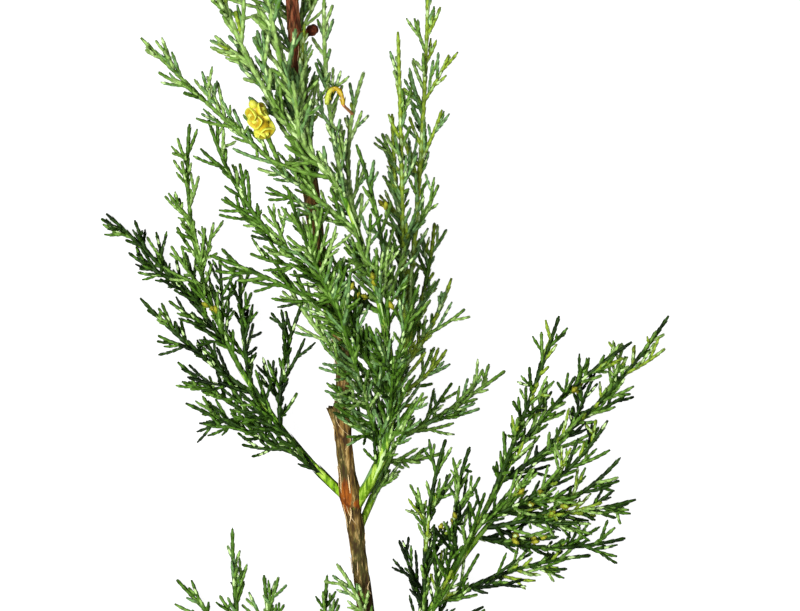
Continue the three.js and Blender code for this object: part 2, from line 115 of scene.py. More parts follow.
# Sprays, by what they grow on: where the axis of each leaves it, its tip, its bow, and its longest side twig
SPRAYS = {
    "left_bough": {
        "left_low_spray": (0.3, (-34, 17.4, ON_FLOOR), 0, 7),
        "left_lower_middle_spray": (0.48, (-35.5, 25.8, 3), 1, 8),
        "left_middle_spray": (0.7, (-43, 38.8, 5), 1, 8),
        "left_inner_spray": (0.52, (-10.2, 37, 13), 1.4, 9),
        "left_outer_spray": (1, (-50.2, 56, ON_FLOOR), -1, 12),
        "left_tall_spray": (0.86, (-32.4, 73.6, 16), 4, 11),
        "left_upper_spray": (0.77, (-22.8, 44.4, 5), 0.6, 7),
    },
    "front_bough": {
        "front_top_spray": (1, (-26.8, 104.4, 37), 3.6, 15),
        "front_upper_left_spray": (0.9, (-41.2, 89.8, 31), 1, 11),
        "front_middle_left_spray": (0.7, (-28, 73.8, 29), 6, 12),
        "front_lower_left_spray": (0.6, (-28, 47.2, 25), -1.6, 10),
        "front_low_spray": (0.24, (-3, 38.4, 32), 0, 9),
        "front_centre_spray": (0.46, (-12.4, 60.4, 35), 2, 11),
        "front_right_spray": (0.94, (-5.4, 99, 22), 1.6, 6),
        "front_cone_spray": (0.86, (2.4, 83.6, 20), 3, 6),
        "front_right_low_spray": (0.4, (13.4, 41.4, 27), 1, 10),
        "front_right_middle_spray": (0.62, (1, 69, 28), -2, 9),
    },
    "right_bough": {
        "right_high_spray": (1, (15.4, 108, 13), -0.6, 10),
        "right_tall_spray": (0.6, (9.2, 91.6, 22), -0.2, 7),
        "right_low_spray": (0.54, (20, 42.8, 8), -1, 7),
        "right_outer_spray": (0.64, (16.6, 54, 3), -1, 7),
        "right_inner_spray": (0.84, (8, 76, 7), 0.6, 6),
        "right_lower_spray": (0.42, (19, 28.4, 8), -1, 6),
    },
    "back_bough": {
        "back_spray": (1, (31, 24, ON_FLOOR), -0.5, 8),
        "back_low_spray": (0.78, (18.6, 7.4, 2), -0.5, 3),
    },
    "lower_right_bough": {
        "lower_right_top_spray": (0.88, (63.6, 35.2, 11), -2.6, 12),
        "lower_right_crown_spray": (1, (56, 30, 15), 1.4, 9),
        "lower_right_spike_spray": (0.8, (41.2, 35.2, 21), -0.4, 6),
        "lower_right_middle_spray": (0.73, (51, 14.4, 18), -3, 10),
        "lower_right_low_spray": (0.38, (48.4, -13.6, ON_FLOOR), 2, 9),
        "lower_right_inner_spray": (0.34, (18.8, 10.4, 11), 1.8, 11),
        "lower_right_near_spray": (0.56, (23.6, 9, 15), 1.5, 9),
        "lower_right_bottom_spray": (0.22, (26.6, -24, ON_FLOOR), 0, 7),
    },
    "lower_right_side_bough": {
        "lower_right_outer_spray": (1, (57.4, -2, 5), -1.4, 11),
        "lower_right_curved_spray": (0.75, (53.8, 6.6, 11), -3, 8),
        "lower_right_base_spray": (0.6, (55.4, -10, 2), -2, 10),
    },
    "lower_left_bough": {
        "lower_left_outer_spray": (1, (-35.8, -18.6, ON_FLOOR), 0, 6),
        "lower_left_tall_spray": (0.92, (-24.2, -7.8, 8), 0.4, 4),
        "lower_left_inner_spray": (0.7, (-18, -17.4, 3), 0, 6),
        "lower_left_near_spray": (0.32, (-5.2, -17.6, 2), 0.5, 6),
    },
    "stem": {
        "lower_front_spray": (up(-37), (-3, -14.2, 18), -2, 7),
        "front_crown_spray": (up(62), (-17.2, 103.2, 39), 0.5, 12),
        "under_spray": (up(27), (-13, 42, 18), 0.8, 6),
        "top_left_spray": (up(93), (-44, 126, 11), 1, 12),
        "top_right_spray": (up(97), (9, 136, 14), -2, 12),
        "top_back_spray": (up(88), (-6, 124, ON_FLOOR), 0, 12),
        "top_front_spray": (up(108), (-22, 148, 34), 1, 11),
        "top_side_spray": (up(116), (-34, 152, 16), 1, 10),
        "leader_spray": (1, (-17, 164, 22), 0, 10),
    },
}
AXIS = dict(radii=(0.9, 0.6), rings=4)

# The rule of growth, for the side twigs on a spray's axis and for the shoots on those twigs. They stand from
# `first` after the parent's root to `last` before its tip, and get shorter towards the tip. Rolls are their
# places round the parent, in degrees from its left, each with its share of the longest twig.
ORDERS = [
    dict(
        first=5, last=6, gap=4.2,
        rolls=(0, 180, 80, 10, 190, 280), shares=(1, 1, 0.55, 0.9, 0.9, 0.55), roll_spread=40,
        angle=29, angle_spread=14, shortest=3.4, narrowing=0.7, radii=(0.46, 0.58), rings=2,
    ),
    dict(
        first=2.6, last=3.4, gap=4.2,
        rolls=(0, 180), shares=(1, 1), roll_spread=90,
        angle=30, angle_spread=14, shortest=2.6, narrowing=1, radii=(0.34, 0.55), rings=2,
    ),
]
SIDE_SHARE = 0.5
SIZE_SPREAD = (0.75, 1.15)
PLACE_SPREAD = 0.4
FOLLOW = 0.3
RISE = 0.25

# The same rule carried on to the fine shoots between those twigs, which stand clear of a twig that is there:
# one rule for each level of parent. Their length is a share of its reach on top of the shortest, and only
# some grow.
FINE = dict(
    first=1.8, gap=1.9, clear=0.9,
    rolls=(0, 180), roll_spread=90,
    angle=34, angle_spread=20, shortest=2.2, sizes=(0.5, 1.6), narrowing=0.6, radii=(0.36, 0.3), rings=2,
)
FINE_RULES = [
    dict(FINE, last=5, share=0.45, chance=1),
    dict(FINE, last=3, share=0.45, chance=0.7),
    dict(FINE, last=2.4, share=0.4, chance=0.3),
]

# A twig has so many keys for what grows on it, the later half of them for fine shoots. A fine shoot that ends
# in an opening, or comes closer than the gap to another spray or limb, is drawn again with a key so far on.
KEYS_EACH = 64
FINE_KEYS = 32
FINE_GAP = -0.35
FINE_TRIES = 4
FINE_KEY_STEP = 1000003

# Openings between the sprays and over the stem, where no fine shoot ends: their middle, and their half width
# and height, seen from above
OPENINGS = [
    (1, 68.4, 2.6, 8.4), (20, 34.8, 3.2, 5.2), (17.8, 50.4, 1.6, 5), (-8.8, 29.4, 2.2, 7),
    (-18, 6.8, 5.6, 2.8), (26.6, -14, 6.4, 3.6), (47.6, -13.6, 6.8, 2.4), (9.2, -12.6, 2.6, 2.8),
    (-8.8, 96, 2, 2.8), (50.6, 4.4, 2.8, 6), (37, 29.4, 1.6, 3), (-36.6, 30, 2, 2.6),
    (-27.8, 69.8, 2.6, 4.6), (-8, 10.4, 2.8, 5.4), (-7.8, 60.4, 1.6, 3), (-6.2, 51.4, 1.7, 4.4),
    (-4.6, 41.4, 1.7, 4), (-11.8, 92, 1.8, 7),
]

# Shoots on the limbs themselves: along the boughs, on the stem's near side where foliage covers it, close
# together low on the front bough, and at the stem's top. Two near sprays have such shoots too, each on one
# side of its axis. Their rules, their first keys, and how long they may be.
BOUGH_SHOOTS = dict(
    FINE_RULES[0], first=8, last=1, gap=1.3, clear=0,
    rolls=(90, 20, 140, 60, 180, 110, 0, 75), roll_spread=50, shortest=3, narrowing=0.4,
)
STEM_SHOOTS = dict(BOUGH_SHOOTS, first=114, last=46, gap=0.9, rolls=(90, 60, 120), angle=20, shortest=4)
FRONT_SHOOTS = dict(
    BOUGH_SHOOTS, first=12, last=10, gap=0.8, rolls=(40, 0, 90, 20, 140, 60), angle=36, shortest=4,
)
FRONT_KEY = 950
FRONT_REACH = 5
TOP_SHOOTS = dict(BOUGH_SHOOTS, first=164, last=6, gap=1.6, rolls=(0, 180, 60, 240, 120, 300), angle=26)
TOP_KEY = 970
TOP_REACH = 5
NEAR_SHOOTS = dict(FRONT_SHOOTS, first=2, last=14, gap=1.1, angle=42, shortest=5)
NEAR_ROLLS = dict(front_low_spray=(0, 40, 15, 70), front_centre_spray=(180, 150))
NEAR_KEY = 960
NEAR_REACH = 4
LIMB_REACHES = dict(
    stem=9, left_bough=5, front_bough=12, back_bough=3, lower_right_bough=10, lower_left_bough=5,
    right_bough=9, lower_right_side_bough=7,
)
LIMB_KEY = 900

# How light a spray's axis is, how much the place on the axis counts for the side twigs, and how far a shoot
# may differ from the twig that it stands on
AXIS_TONE = 0.3
# Twigs low on an axis lean to the darker tints, partly older shoots and partly painted shade of the inner
# foliage
TONE_BY_PLACE = 0.4
TONE_SPREAD = 0.5

# Short stubs that crowd the near side of axes and side twigs, on the inner part of each: their rule, that
# part's share of the twig, and how many of them grow on the sprays of each limb
STUBS = dict(
    FINE, first=1, gap=1.1, clear=0, rolls=(90, 40, 140), roll_spread=80,
    angle=52, angle_spread=50, shortest=1.8, share=0.1, narrowing=0.4,
)
STUB_PART = 0.6
STUB_CHANCES = dict(
    stem=0.1, left_bough=0.45, front_bough=0.15, back_bough=0.5, lower_right_bough=0.45, lower_left_bough=0.2,
    right_bough=0.1, lower_right_side_bough=0.45,
)

# Pollen cones: the spray that each stands on, the place on its axis, its tip, and its width and length
POLLEN_CONE = dict(on="front_upper_left_spray", at=0.33, tip=(-19, 76.4, 37), width=5.6, length=7.6)
SMALL_CONE = dict(on="front_cone_spray", at=0.76, tip=(-2, 79.6, 28), width=2.2, length=4)
STALK_RADIUS = 0.5

TURN = 2 * math.pi
X_AXIS = np.array([1.0, 0, 0])
Y_AXIS = np.array([0, 1.0, 0])
Z_AXIS = np.array([0, 0, 1.0])
MM = 0.001

# Where the fork lies in the frame: the middle of the cut face is the stem line's first point
CUT_FACE = np.array(next(m["pos_m"] for m in frame["record"]["mounts"] if m["name"] == "cut_end")) / MM
SHIFT = CUT_FACE - (CUT_X, CUT_Y, CUT_RADIUS)


# Vectors, paths and draws

def lerp(ends, share):
    return ends[0] + (ends[1] - ends[0]) * share


def unit(v):
    return v / np.linalg.norm(v, axis=-1, keepdims=True)


def smooth(x):
    """0 below 0, 1 above 1, and a soft step between."""
    x = np.clip(x, 0, 1)
    return x * x * (3 - 2 * x)


def bell(x, half):
    """1 at 0, and less and less to both sides."""
    return np.exp(-((x / half) ** 2))


def ramp(x, low, high):
    """0 below low, 1 above high, and a soft step between."""
    return smooth((x - low) / (high - low))


# What a draw is for
FOR_PLACE = 0
FOR_SIZE = 1
FOR_ROLL = 2
FOR_ANGLE = 3
FOR_CHANCE = 4
FOR_TONE = 6
PURPOSES = 8
WORD = 0xFFFFFFFF
MIXER = 0x6D2B79F5


def draw(key, purpose):
    """A number from 0 to 1 that belongs to a twig's key and to a purpose."""
    t = (key * PURPOSES + purpose + MIXER) & WORD
    t = ((t ^ (t >> 15)) * (t | 1)) & WORD
    t ^= (t + (((t ^ (t >> 7)) * (t | 61)) & WORD)) & WORD
    return ((t ^ (t >> 14)) & WORD) / (WORD + 1)


def draw_either_way(key, purpose):
    """A draw from -0.5 to 0.5."""
    return draw(key, purpose) - 0.5


PATH_STEPS = np.linspace(0, 1, 201)
NUDGE = 1e-4


class Path:
    """A curve whose points can be read by their share of its length."""

    def __init__(self, point):
        self.point = point
        legs = np.linalg.norm(np.diff(point(PATH_STEPS), axis=0), axis=1)
        self.reached = np.concatenate([[0], np.cumsum(legs)])
        self.length = self.reached[-1]

    def parameter(self, share):
        return np.interp(np.asarray(share) * self.length, self.reached, PATH_STEPS)

    def at(self, share):
        return self.point(self.parameter(share))

    def slope(self, t):
        return unit(self.point(np.minimum(t + NUDGE, 1)) - self.point(np.maximum(t - NUDGE, 0)))

    def heading(self, share):
        return self.slope(self.parameter(share))


def bezier(start, middle, tip):
    def point(t):
        t = np.asarray(t)[..., None]
        return (1 - t) ** 2 * start + 2 * t * (1 - t) * middle + t**2 * tip

    return Path(point)


def straight(start, end):
    return bezier(start, (start + end) / 2, end)


HALFWAY = 0.5


def bowed(start, tip, bow, bend=HALFWAY):
    """A path that bows to the left of its way, seen from above, and bends at a share of that way."""
    left = unit(np.array([start[1] - tip[1], tip[0] - start[0], 0]))
    return bezier(start, lerp((start, tip), bend) + left * 2 * bow, tip)


def stem_point(t):
    y = CUT_Y + STEM_LENGTH * t
    kink = STEM_KINK["by"] * bell(y - STEM_KINK["y"], STEM_KINK["half"])
    x = CUT_X + STEM_LEAN * t + STEM_BOW * np.sin(math.pi * np.power(t, BOW_POWER)) + kink
    z = CUT_RADIUS + STEM_LIFT * (1 - np.power(1 - t, LIFT_POWER))
    return np.stack([x, y, z], axis=-1)


def stem_radius(t):
    y = CUT_Y + STEM_LENGTH * t
    plain = lerp((CUT_RADIUS, TIP_RADIUS), np.power(t, TAPER_POWER))
    return plain + sum(extra * bell(y - place, half) for place, extra, half in SWELLINGS)


# The room that is taken: straight stretches with their owner and radius

def stretches(path, radius_at, rings, pointed):
    shares = np.linspace(0, 1, rings + 1)
    if pointed:
        shares = 1 - (1 - shares) ** 2
    spots = path.at(shares)
    radii = radius_at(shares)
    return spots[:-1], spots[1:], np.maximum(radii[:-1], radii[1:])


TINY = 1e-12


def gaps_to(start, end, starts, ends):
    """The distances from one straight stretch to many."""
    way = end - start
    ways = ends - starts
    apart = start - starts
    a = way @ way
    e = np.einsum("ij,ij->i", ways, ways)
    b = ways @ way
    c = apart @ way
    f = np.einsum("ij,ij->i", ways, apart)
    spread = a * e - b * b
    s = np.clip(np.where(spread > TINY, (b * f - c * e) / np.maximum(spread, TINY), 0), 0, 1)
    t = (b * s + f) / e
    clipped = np.clip(t, 0, 1)
    s = np.where(t == clipped, s, np.clip((b * clipped - c) / a, 0, 1))
    return np.linalg.norm(apart + s[:, None] * way - clipped[:, None] * ways, axis=1)


class Room:
    """The stretches that limbs, twigs, cones and the bud take up."""

    def __init__(self):
        self.starts = np.empty((0, 3))
        self.ends = np.empty((0, 3))
        self.radii = np.empty(0)
        self.owners = np.empty(0, dtype=object)

    def take(self, owner, starts, ends, radii):
        self.starts = np.concatenate([self.starts, starts])
        self.ends = np.concatenate([self.ends, ends])
        self.radii = np.concatenate([self.radii, radii])
        self.owners = np.concatenate([self.owners, np.full(len(radii), owner, dtype=object)])

    def blocks(self, owner, starts, ends, radii, gap):
        """Whether stretches come closer than the gap to what others own."""
        others = self.owners != owner
        for start, end, radius in zip(starts, ends, radii):
            clear = gaps_to(start, end, self.starts[others], self.ends[others]) - self.radii[others]
            if (clear < radius + gap).any():
                return True
        return False


room = Room()


# The level of a spray's side twigs. Its axis has level 0, and its shoots have the levels above.
SIDE_LEVEL = 1


class Twig:
    """A twig along a path: what owns it, its level, and how long the longest twig on its own sides may be."""

    def __init__(self, owner, key, level, path, reach, rule, tone=AXIS_TONE):
        self.owner = owner
        self.key = key
        self.level = level
        self.path = path
        self.reach = reach
        self.tone = tone
        self.room = stretches(path, lambda share: lerp(rule["radii"], share), rule["rings"], True)
        self.places = []


def above_floor(spot):
    return np.array([spot[0], spot[1], max(spot[2], ON_FLOOR)])


def side_twig(parent, rule, share, key, size, roll, angle):
    """One side twig: it leaves at an angle, then turns to follow its parent and to rise along the branch."""
    start = parent.path.at(share)
    heading = parent.path.heading(share)
    left = unit(np.cross(Z_AXIS, heading))
    outward = left * math.cos(roll) + np.cross(heading, left) * math.sin(roll)
    way = heading * math.cos(angle) + outward * math.sin(angle)
    turned = unit(way + heading * FOLLOW + Y_AXIS * RISE)
    middle = above_floor(start + way * size / 2)
    path = bezier(start, middle, above_floor(middle + turned * size / 2))
    tone = tone_on(parent, share, key)
    return Twig(parent.owner, key, parent.level + 1, path, SIDE_SHARE * size, rule, tone)


def tone_on(parent, share, key):
    """How light a side twig is: by its place on an axis and by chance, or near its parent's tone."""
    if parent.level == 0:
        return lerp((draw(key, FOR_TONE), share), TONE_BY_PLACE)
    return np.clip(parent.tone + TONE_SPREAD * draw_either_way(key, FOR_TONE), 0, 1)


def drawn_twig(parent, rule, k, key, share, longest):
    """A side twig whose size, roll and angle are drawn by its key."""
    turn = rule["rolls"][k % len(rule["rolls"])] + rule["roll_spread"] * draw_either_way(key, FOR_ROLL)
    angle = rule["angle"] + rule["angle_spread"] * draw_either_way(key, FOR_ANGLE)
    size = (longest + rule["shortest"]) * lerp(rule.get("sizes", SIZE_SPREAD), draw(key, FOR_SIZE))
    return side_twig(parent, rule, share, key, size, math.radians(turn), math.radians(angle))


def places(parent, rule, first_key):
    """The keys and shares at which twigs stand on a parent by a rule."""
    count = math.floor((parent.path.length - rule["first"] - rule["last"]) / rule["gap"]) + 1
    for k in range(count):
        key = first_key + k + 1
        along = rule["first"] + rule["gap"] * (k + PLACE_SPREAD * draw_either_way(key, FOR_PLACE))
        yield k, key, along / parent.path.length


def side_twigs(parent, order):
    """The side twigs of one twig. Each is skipped where it would touch another spray or limb."""
    rule = ORDERS[order]
    twigs = []
    for k, key, share in places(parent, rule, parent.key * KEYS_EACH):
        longest = parent.reach * (1 - share) ** rule["narrowing"] * rule["shares"][k % len(rule["shares"])]
        twig = drawn_twig(parent, rule, k, key, share, longest)
        if room.blocks(twig.owner, *twig.room, GAP):
            continue
        room.take(twig.owner, *twig.room)
        parent.places.append(share)
        twigs.append(twig)
        if order + 1 < len(ORDERS):
            twigs += side_twigs(twig, order + 1)
    return twigs


def fine_twigs(parent, rule):
    """The fine shoots of one twig, between those that it has, and the finer ones on them."""
    twigs = []
    for k, key, share in places(parent, rule, parent.key * KEYS_EACH + FINE_KEYS):
        if draw(key, FOR_CHANCE) > rule["chance"]:
            continue
        if any(abs(share - other) * parent.path.length < rule["clear"] for other in parent.places):
            continue
        longest = rule["share"] * parent.reach * (1 - share) ** rule["narrowing"]
        twig = free_twig(parent, rule, k, key, share, longest)
        if not twig:
            continue
        room.take(twig.owner, *twig.room)
        twigs.append(twig)
        if twig.level < len(FINE_RULES):
            twigs += fine_twigs(twig, FINE_RULES[twig.level])
    return twigs


def in_opening(spot):
    return any(math.hypot((spot[0] - x) / wide, (spot[1] - y) / high) < 1 for x, y, wide, high in OPENINGS)


def free_twig(parent, rule, k, key, share, longest):
    """A fine shoot that ends in no opening and keeps its gap, or none after some draws."""
    for n in range(FINE_TRIES):
        twig = drawn_twig(parent, rule, k + n, key + n * FINE_KEY_STEP, share, longest)
        if not in_opening(twig.path.point(1.0)) and not room.blocks(twig.owner, *twig.room, FINE_GAP):
            return twig
    return None


# The branch grows: first the stem, boughs, axes and cones take their room, then the twigs of each spray

class Limb:
    """The stem or a bough: a path with its radius by share of length."""

    def __init__(self, name, path, radius_at, rings):
        self.name = name
        self.path = path
        self.radius_at = radius_at
        room.take(name, *stretches(path, radius_at, rings, False))


def bough_radius(radii):
    return lambda share: lerp(radii, 1 - (1 - share) ** BOUGH_TAPER)


def grow_limbs():
    limbs = {"stem": Limb("stem", Path(stem_point), stem_radius, STEM_RINGS)}
    for on, rows in BOUGHS.items():
        for name, (at, tip, bow, radii) in rows.items():
            start = limbs[on].path.point(at)
            path = bowed(start, np.array(tip), bow, BENDS.get(name, HALFWAY))
            limbs[name] = Limb(name, path, bough_radius(radii), BOUGH_RINGS)
    return limbs


def grow_axes(limbs):
    axes = {}
    for on, rows in SPRAYS.items():
        for name, (at, tip, bow, reach) in rows.items():
            path = bowed(limbs[on].path.point(at), np.array(tip), bow)
            axes[name] = Twig(name, len(axes) + 1, 0, path, reach, AXIS)
            room.take(name, *axes[name].room)
    return axes


class Stand:
    """Where a pollen cone or the bud stands: its foot, the way that it points, its middle and its tip."""

    def __init__(self, name, foot, tip, length, radii):
        self.foot = foot
        self.tip = tip
        self.way = unit(tip - foot)
        self.middle = tip - self.way * length / 2
        self.length = length
        room.take(name, np.array([foot, self.middle]), np.array([self.middle, tip]), np.array(radii))


def cone_stand(name, cone, axes):
    foot = axes[cone["on"]].path.point(cone["at"])
    return Stand(name, foot, np.array(cone["tip"]), cone["length"], (STALK_RADIUS, cone["width"] / 2))


def bud_stand(stem):
    foot = stem.path.point(up(BUD["y"]))
    return Stand("dried_bud", foot, foot + BUD["reach"], 2 * BUD["radius"], (BUD["radius"], BUD["radius"]))


def shoots_on(name, path, key, rule, reach):
    """The shoots that stand on a limb or on a spray's axis."""
    return fine_twigs(Twig(name, key, 0, path, reach / rule["share"], AXIS), rule)


LIMB_OF = {name: on for on, rows in SPRAYS.items() for name in rows}


def stubs(twig):
    """The stubs on the inner part of a spray's axis or side twig."""
    last = (1 - STUB_PART) * twig.path.length
    return fine_twigs(twig, dict(STUBS, last=last, chance=STUB_CHANCES[LIMB_OF[twig.owner]]))


limbs = grow_limbs()
axes = grow_axes(limbs)
cone = cone_stand("pollen_cone", POLLEN_CONE, axes)
small_cone = cone_stand("small_pollen_cone", SMALL_CONE, axes)
bud = bud_stand(limbs["stem"])
twigs = list(axes.values())
for axis in axes.values():
    twigs += side_twigs(axis, 0)
on_limbs = shoots_on("front_bough", limbs["front_bough"].path, FRONT_KEY, FRONT_SHOOTS, FRONT_REACH)
on_limbs += shoots_on("stem", limbs["stem"].path, TOP_KEY, TOP_SHOOTS, TOP_REACH)
for number, (name, rolls) in enumerate(NEAR_ROLLS.items()):
    rule = dict(NEAR_SHOOTS, rolls=rolls)
    on_limbs += shoots_on(name, axes[name].path, NEAR_KEY + number, rule, NEAR_REACH)
for number, (name, limb) in enumerate(limbs.items()):
    rule = STEM_SHOOTS if name == "stem" else BOUGH_SHOOTS
    on_limbs += shoots_on(name, limb.path, LIMB_KEY + number, rule, LIMB_REACHES[name])
for twig in list(twigs):
    twigs += fine_twigs(twig, FINE_RULES[twig.level])
for twig in [twig for twig in twigs if twig.level <= SIDE_LEVEL]:
    twigs += stubs(twig)
twigs += on_limbs
boughs = [limb for name, limb in limbs.items() if name != "stem"]


# Meshes from arrays

def add_piece(name, spots, triangles, material, slot, nodes, values=None):
    """A piece of the object from points in millimetres and triangles, and values of the points if given."""
    mesh = bpy.data.meshes.new(name)
    mesh.vertices.add(len(spots))
    placed = spots + SHIFT
    placed[:, 2] = np.maximum(placed[:, 2], 0)
    mesh.vertices.foreach_set("co", (placed * MM).astype(np.float32).ravel())
    mesh.loops.add(triangles.size)
    mesh.loops.foreach_set("vertex_index", triangles.astype(np.int32).ravel())
    mesh.polygons.add(len(triangles))
    mesh.polygons.foreach_set("loop_start", np.arange(0, triangles.size, 3, dtype=np.int32))
    mesh.update(calc_edges=True)
    mesh.validate()
    for title, numbers in (values or {}).items():
        attribute = mesh.attributes.new(title, "FLOAT", "POINT")
        attribute.data.foreach_set("value", numbers.astype(np.float32).ravel())
    mesh.shade_smooth()
    mesh.materials.append(material)
    piece = bpy.data.objects.new(name, mesh)
    bpy.context.scene.collection.objects.link(piece)
    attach(piece, "root")
    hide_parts(*nodes)


class Bundle:
    """Many small meshes that become one piece."""

    def __init__(self):
        self.spots = []
        self.triangles = []
        self.values = []
        self.count = 0

    def add(self, spots, triangles, values=None):
        self.spots.append(spots)
        self.triangles.append(triangles + self.count)
        self.values.append(np.zeros(len(spots)) if values is None else values)
        self.count += len(spots)

    def piece(self, name, material, slot, nodes, value=None):
        values = {value: np.concatenate(self.values)} if value else None
        triangles = np.concatenate(self.triangles)
        add_piece(name, np.concatenate(self.spots), triangles, material, slot, nodes, values)


def turns(sides):
    """The turns of so many points round a tube."""
    return np.arange(sides) * TURN / sides


def skin_triangles(rows, sides):
    """The triangles between rows of points that go round."""
    row = np.arange(rows - 1)[:, None] * sides
    here = np.arange(sides)[None, :]
    beside = (here + 1) % sides
    a, b, c, d = (np.ravel(row + x) for x in (here, beside, beside + sides, here + sides))
    return np.concatenate([np.stack([a, b, c], axis=1), np.stack([a, c, d], axis=1)])


def tube_triangles(rows, sides):
    """The triangles of a tube whose rows of points are closed by one more point at each end."""
    ring = np.arange(sides)
    after = (ring + 1) % sides
    top = (rows - 1) * sides
    first = np.stack([after, ring, np.full(sides, rows * sides)], axis=1)
    last = np.stack([ring + top, after + top, np.full(sides, rows * sides + 1)], axis=1)
    return np.concatenate([skin_triangles(rows, sides), first, last])


def closed(rows):
    """The points of a tube, row by row, then the middles of its first and last row."""
    return np.concatenate([rows.reshape(-1, 3), rows[[0, -1]].mean(axis=1)])


# A heading whose z is larger than this is steep
STEEP = 0.9


def sides_of(headings):
    """Left and front of each heading, square to it and to each other."""
    reference = Z_AXIS if abs(headings.reshape(-1, 3)[0, 2]) < STEEP else X_AXIS
    left = unit(np.cross(reference, headings))
    return left, np.cross(headings, left)


FEWEST_ROWS = 3


class Cord:
    """A round stretch of plant along a path: its radius by millimetres from its root."""

    def __init__(self, path, radius):
        self.path = path
        self.length = path.length
        self.radius = radius

    def spots(self, along, turn, out):
        """The points so far along, turned so far from the left, and at out times the radius."""
        share = np.clip(along / self.length, 0, 1)
        heading = self.path.heading(share)
        left, front = sides_of(heading)
        outward = left * np.cos(turn)[..., None] + front * np.sin(turn)[..., None]
        past = (along - share * self.length)[..., None]
        return self.path.at(share) + heading * past + outward * (out * self.radius(along))[..., None]

    def grid(self, step, sides):
        """The places along and the turns of a tube's points."""
        rows = max(FEWEST_ROWS, math.ceil(self.length / step) + 1)
        return np.meshgrid(np.linspace(0, self.length, rows), turns(sides), indexing="ij")

    def tube(self, step, sides, out):
        """A closed tube round the path, at a multiple of its radius or at a relief of such multiples."""
        along, turn = self.grid(step, sides)
        multiples = out(along, turn) if callable(out) else np.full(along.shape, out)
        skin = self.spots(along, turn, multiples).reshape(-1, 3)
        ends = self.path.at(np.array([0.0, 1.0]))
        return np.concatenate([skin, ends]), tube_triangles(len(along), sides)


# How far past its end a tip closes, and the share of its way at which an egg-shaped end is cut off
TIP_CLOSE = 0.3
EGG_END = 0.98


def even(radius):
    """A radius that is the same all along."""
    return lambda along: np.full(np.shape(along), radius)


def tapered(radii, length, taper, point):
    """A radius that goes evenly from root to tip, narrows to its point over the last taper, then closes."""
    def radius(along):
        plain = lerp(radii, np.clip(along / length, 0, 1))
        ending = np.clip(1 - (along - length) / TIP_CLOSE, 0, 1)
        return plain * (1 - (1 - point) * smooth((along - length + taper) / taper)) * ending

    return radius


def swollen(neck, widest, length, half):
    """A radius that stays a neck's up to an egg-shaped end, so long from its middle to its tip."""
    def radius(along):
        away = np.clip((along - length + half) / half, -EGG_END, EGG_END)
        return np.maximum(widest * np.sqrt(1 - away**2), np.where(along < length - half, neck, 0))

    return radius


def egg(start, tip, neck, widest):
    """An egg-shaped cord, in its first half no thinner than its neck."""
    path = straight(start, tip)
    return Cord(path, swollen(neck, widest, path.length, path.length / 2))


# Scale leaves, which stand in pairs, each pair across the one below. The points of a leaf are its places
# along in pitches, its turns from the leaf's middle, and its distances out in radii: three rows, then its
# tip.
LEAF_ALONG = np.array([-0.25, -0.25, -0.25, 0.4, 0.4, 0.4, 0.95, 0.95, 0.95, 1.45])
LEAF_TURN = np.array([-0.85, 0, 0.85, -0.95, 0, 0.95, -0.6, 0, 0.6, 0])
LEAF_OUT = np.array([0.8, 0.88, 0.8, 0.82, 1, 0.82, 0.84, 1.11, 0.84, 1.1])
LEAF_TRIANGLES = np.array([
    (0, 1, 4), (0, 4, 3), (1, 2, 5), (1, 5, 4),
    (3, 4, 7), (3, 7, 6), (4, 5, 8), (4, 8, 7),
    (6, 7, 9), (7, 8, 9), (6, 9, 8),
])
CORE_OUT = 0.84


def leaves_on(cord, pitch, first, roll, gape=0):
    """The points of every leaf on a cord and each leaf's place along. The gape moves the leaves' tips out."""
    pairs = max(1, math.floor((cord.length - first) / pitch))
    base = first + pitch * np.repeat(np.arange(pairs), 2)
    facing = roll + np.repeat(np.arange(pairs), 2) * TURN / 4 + np.tile([0, TURN / 2], pairs)
    along = base[:, None] + LEAF_ALONG * pitch
    turn = facing[:, None] + LEAF_TURN
    out = LEAF_OUT + gape * np.maximum(LEAF_ALONG, 0) ** 2
    return cord.spots(along, turn, np.broadcast_to(out, turn.shape)), base


def add_leaves(bundle, leaves, values=None):
    if len(leaves):
        starts = np.arange(len(leaves))[:, None, None] * len(LEAF_ALONG)
        bundle.add(leaves.reshape(-1, 3), (LEAF_TRIANGLES + starts).reshape(-1, 3), values)


# Materials

def linear(color):
    """A colour of 0 to 255 in each channel, as light."""
    c = np.array(color) / 255
    return (*np.where(c <= 0.04045, c / 12.92, ((c + 0.055) / 1.055) ** 2.4), 1.0)


SHINE = 0.07
NOISE_ROUGHNESS = 0.6
EVEN = (1, 1, 1)


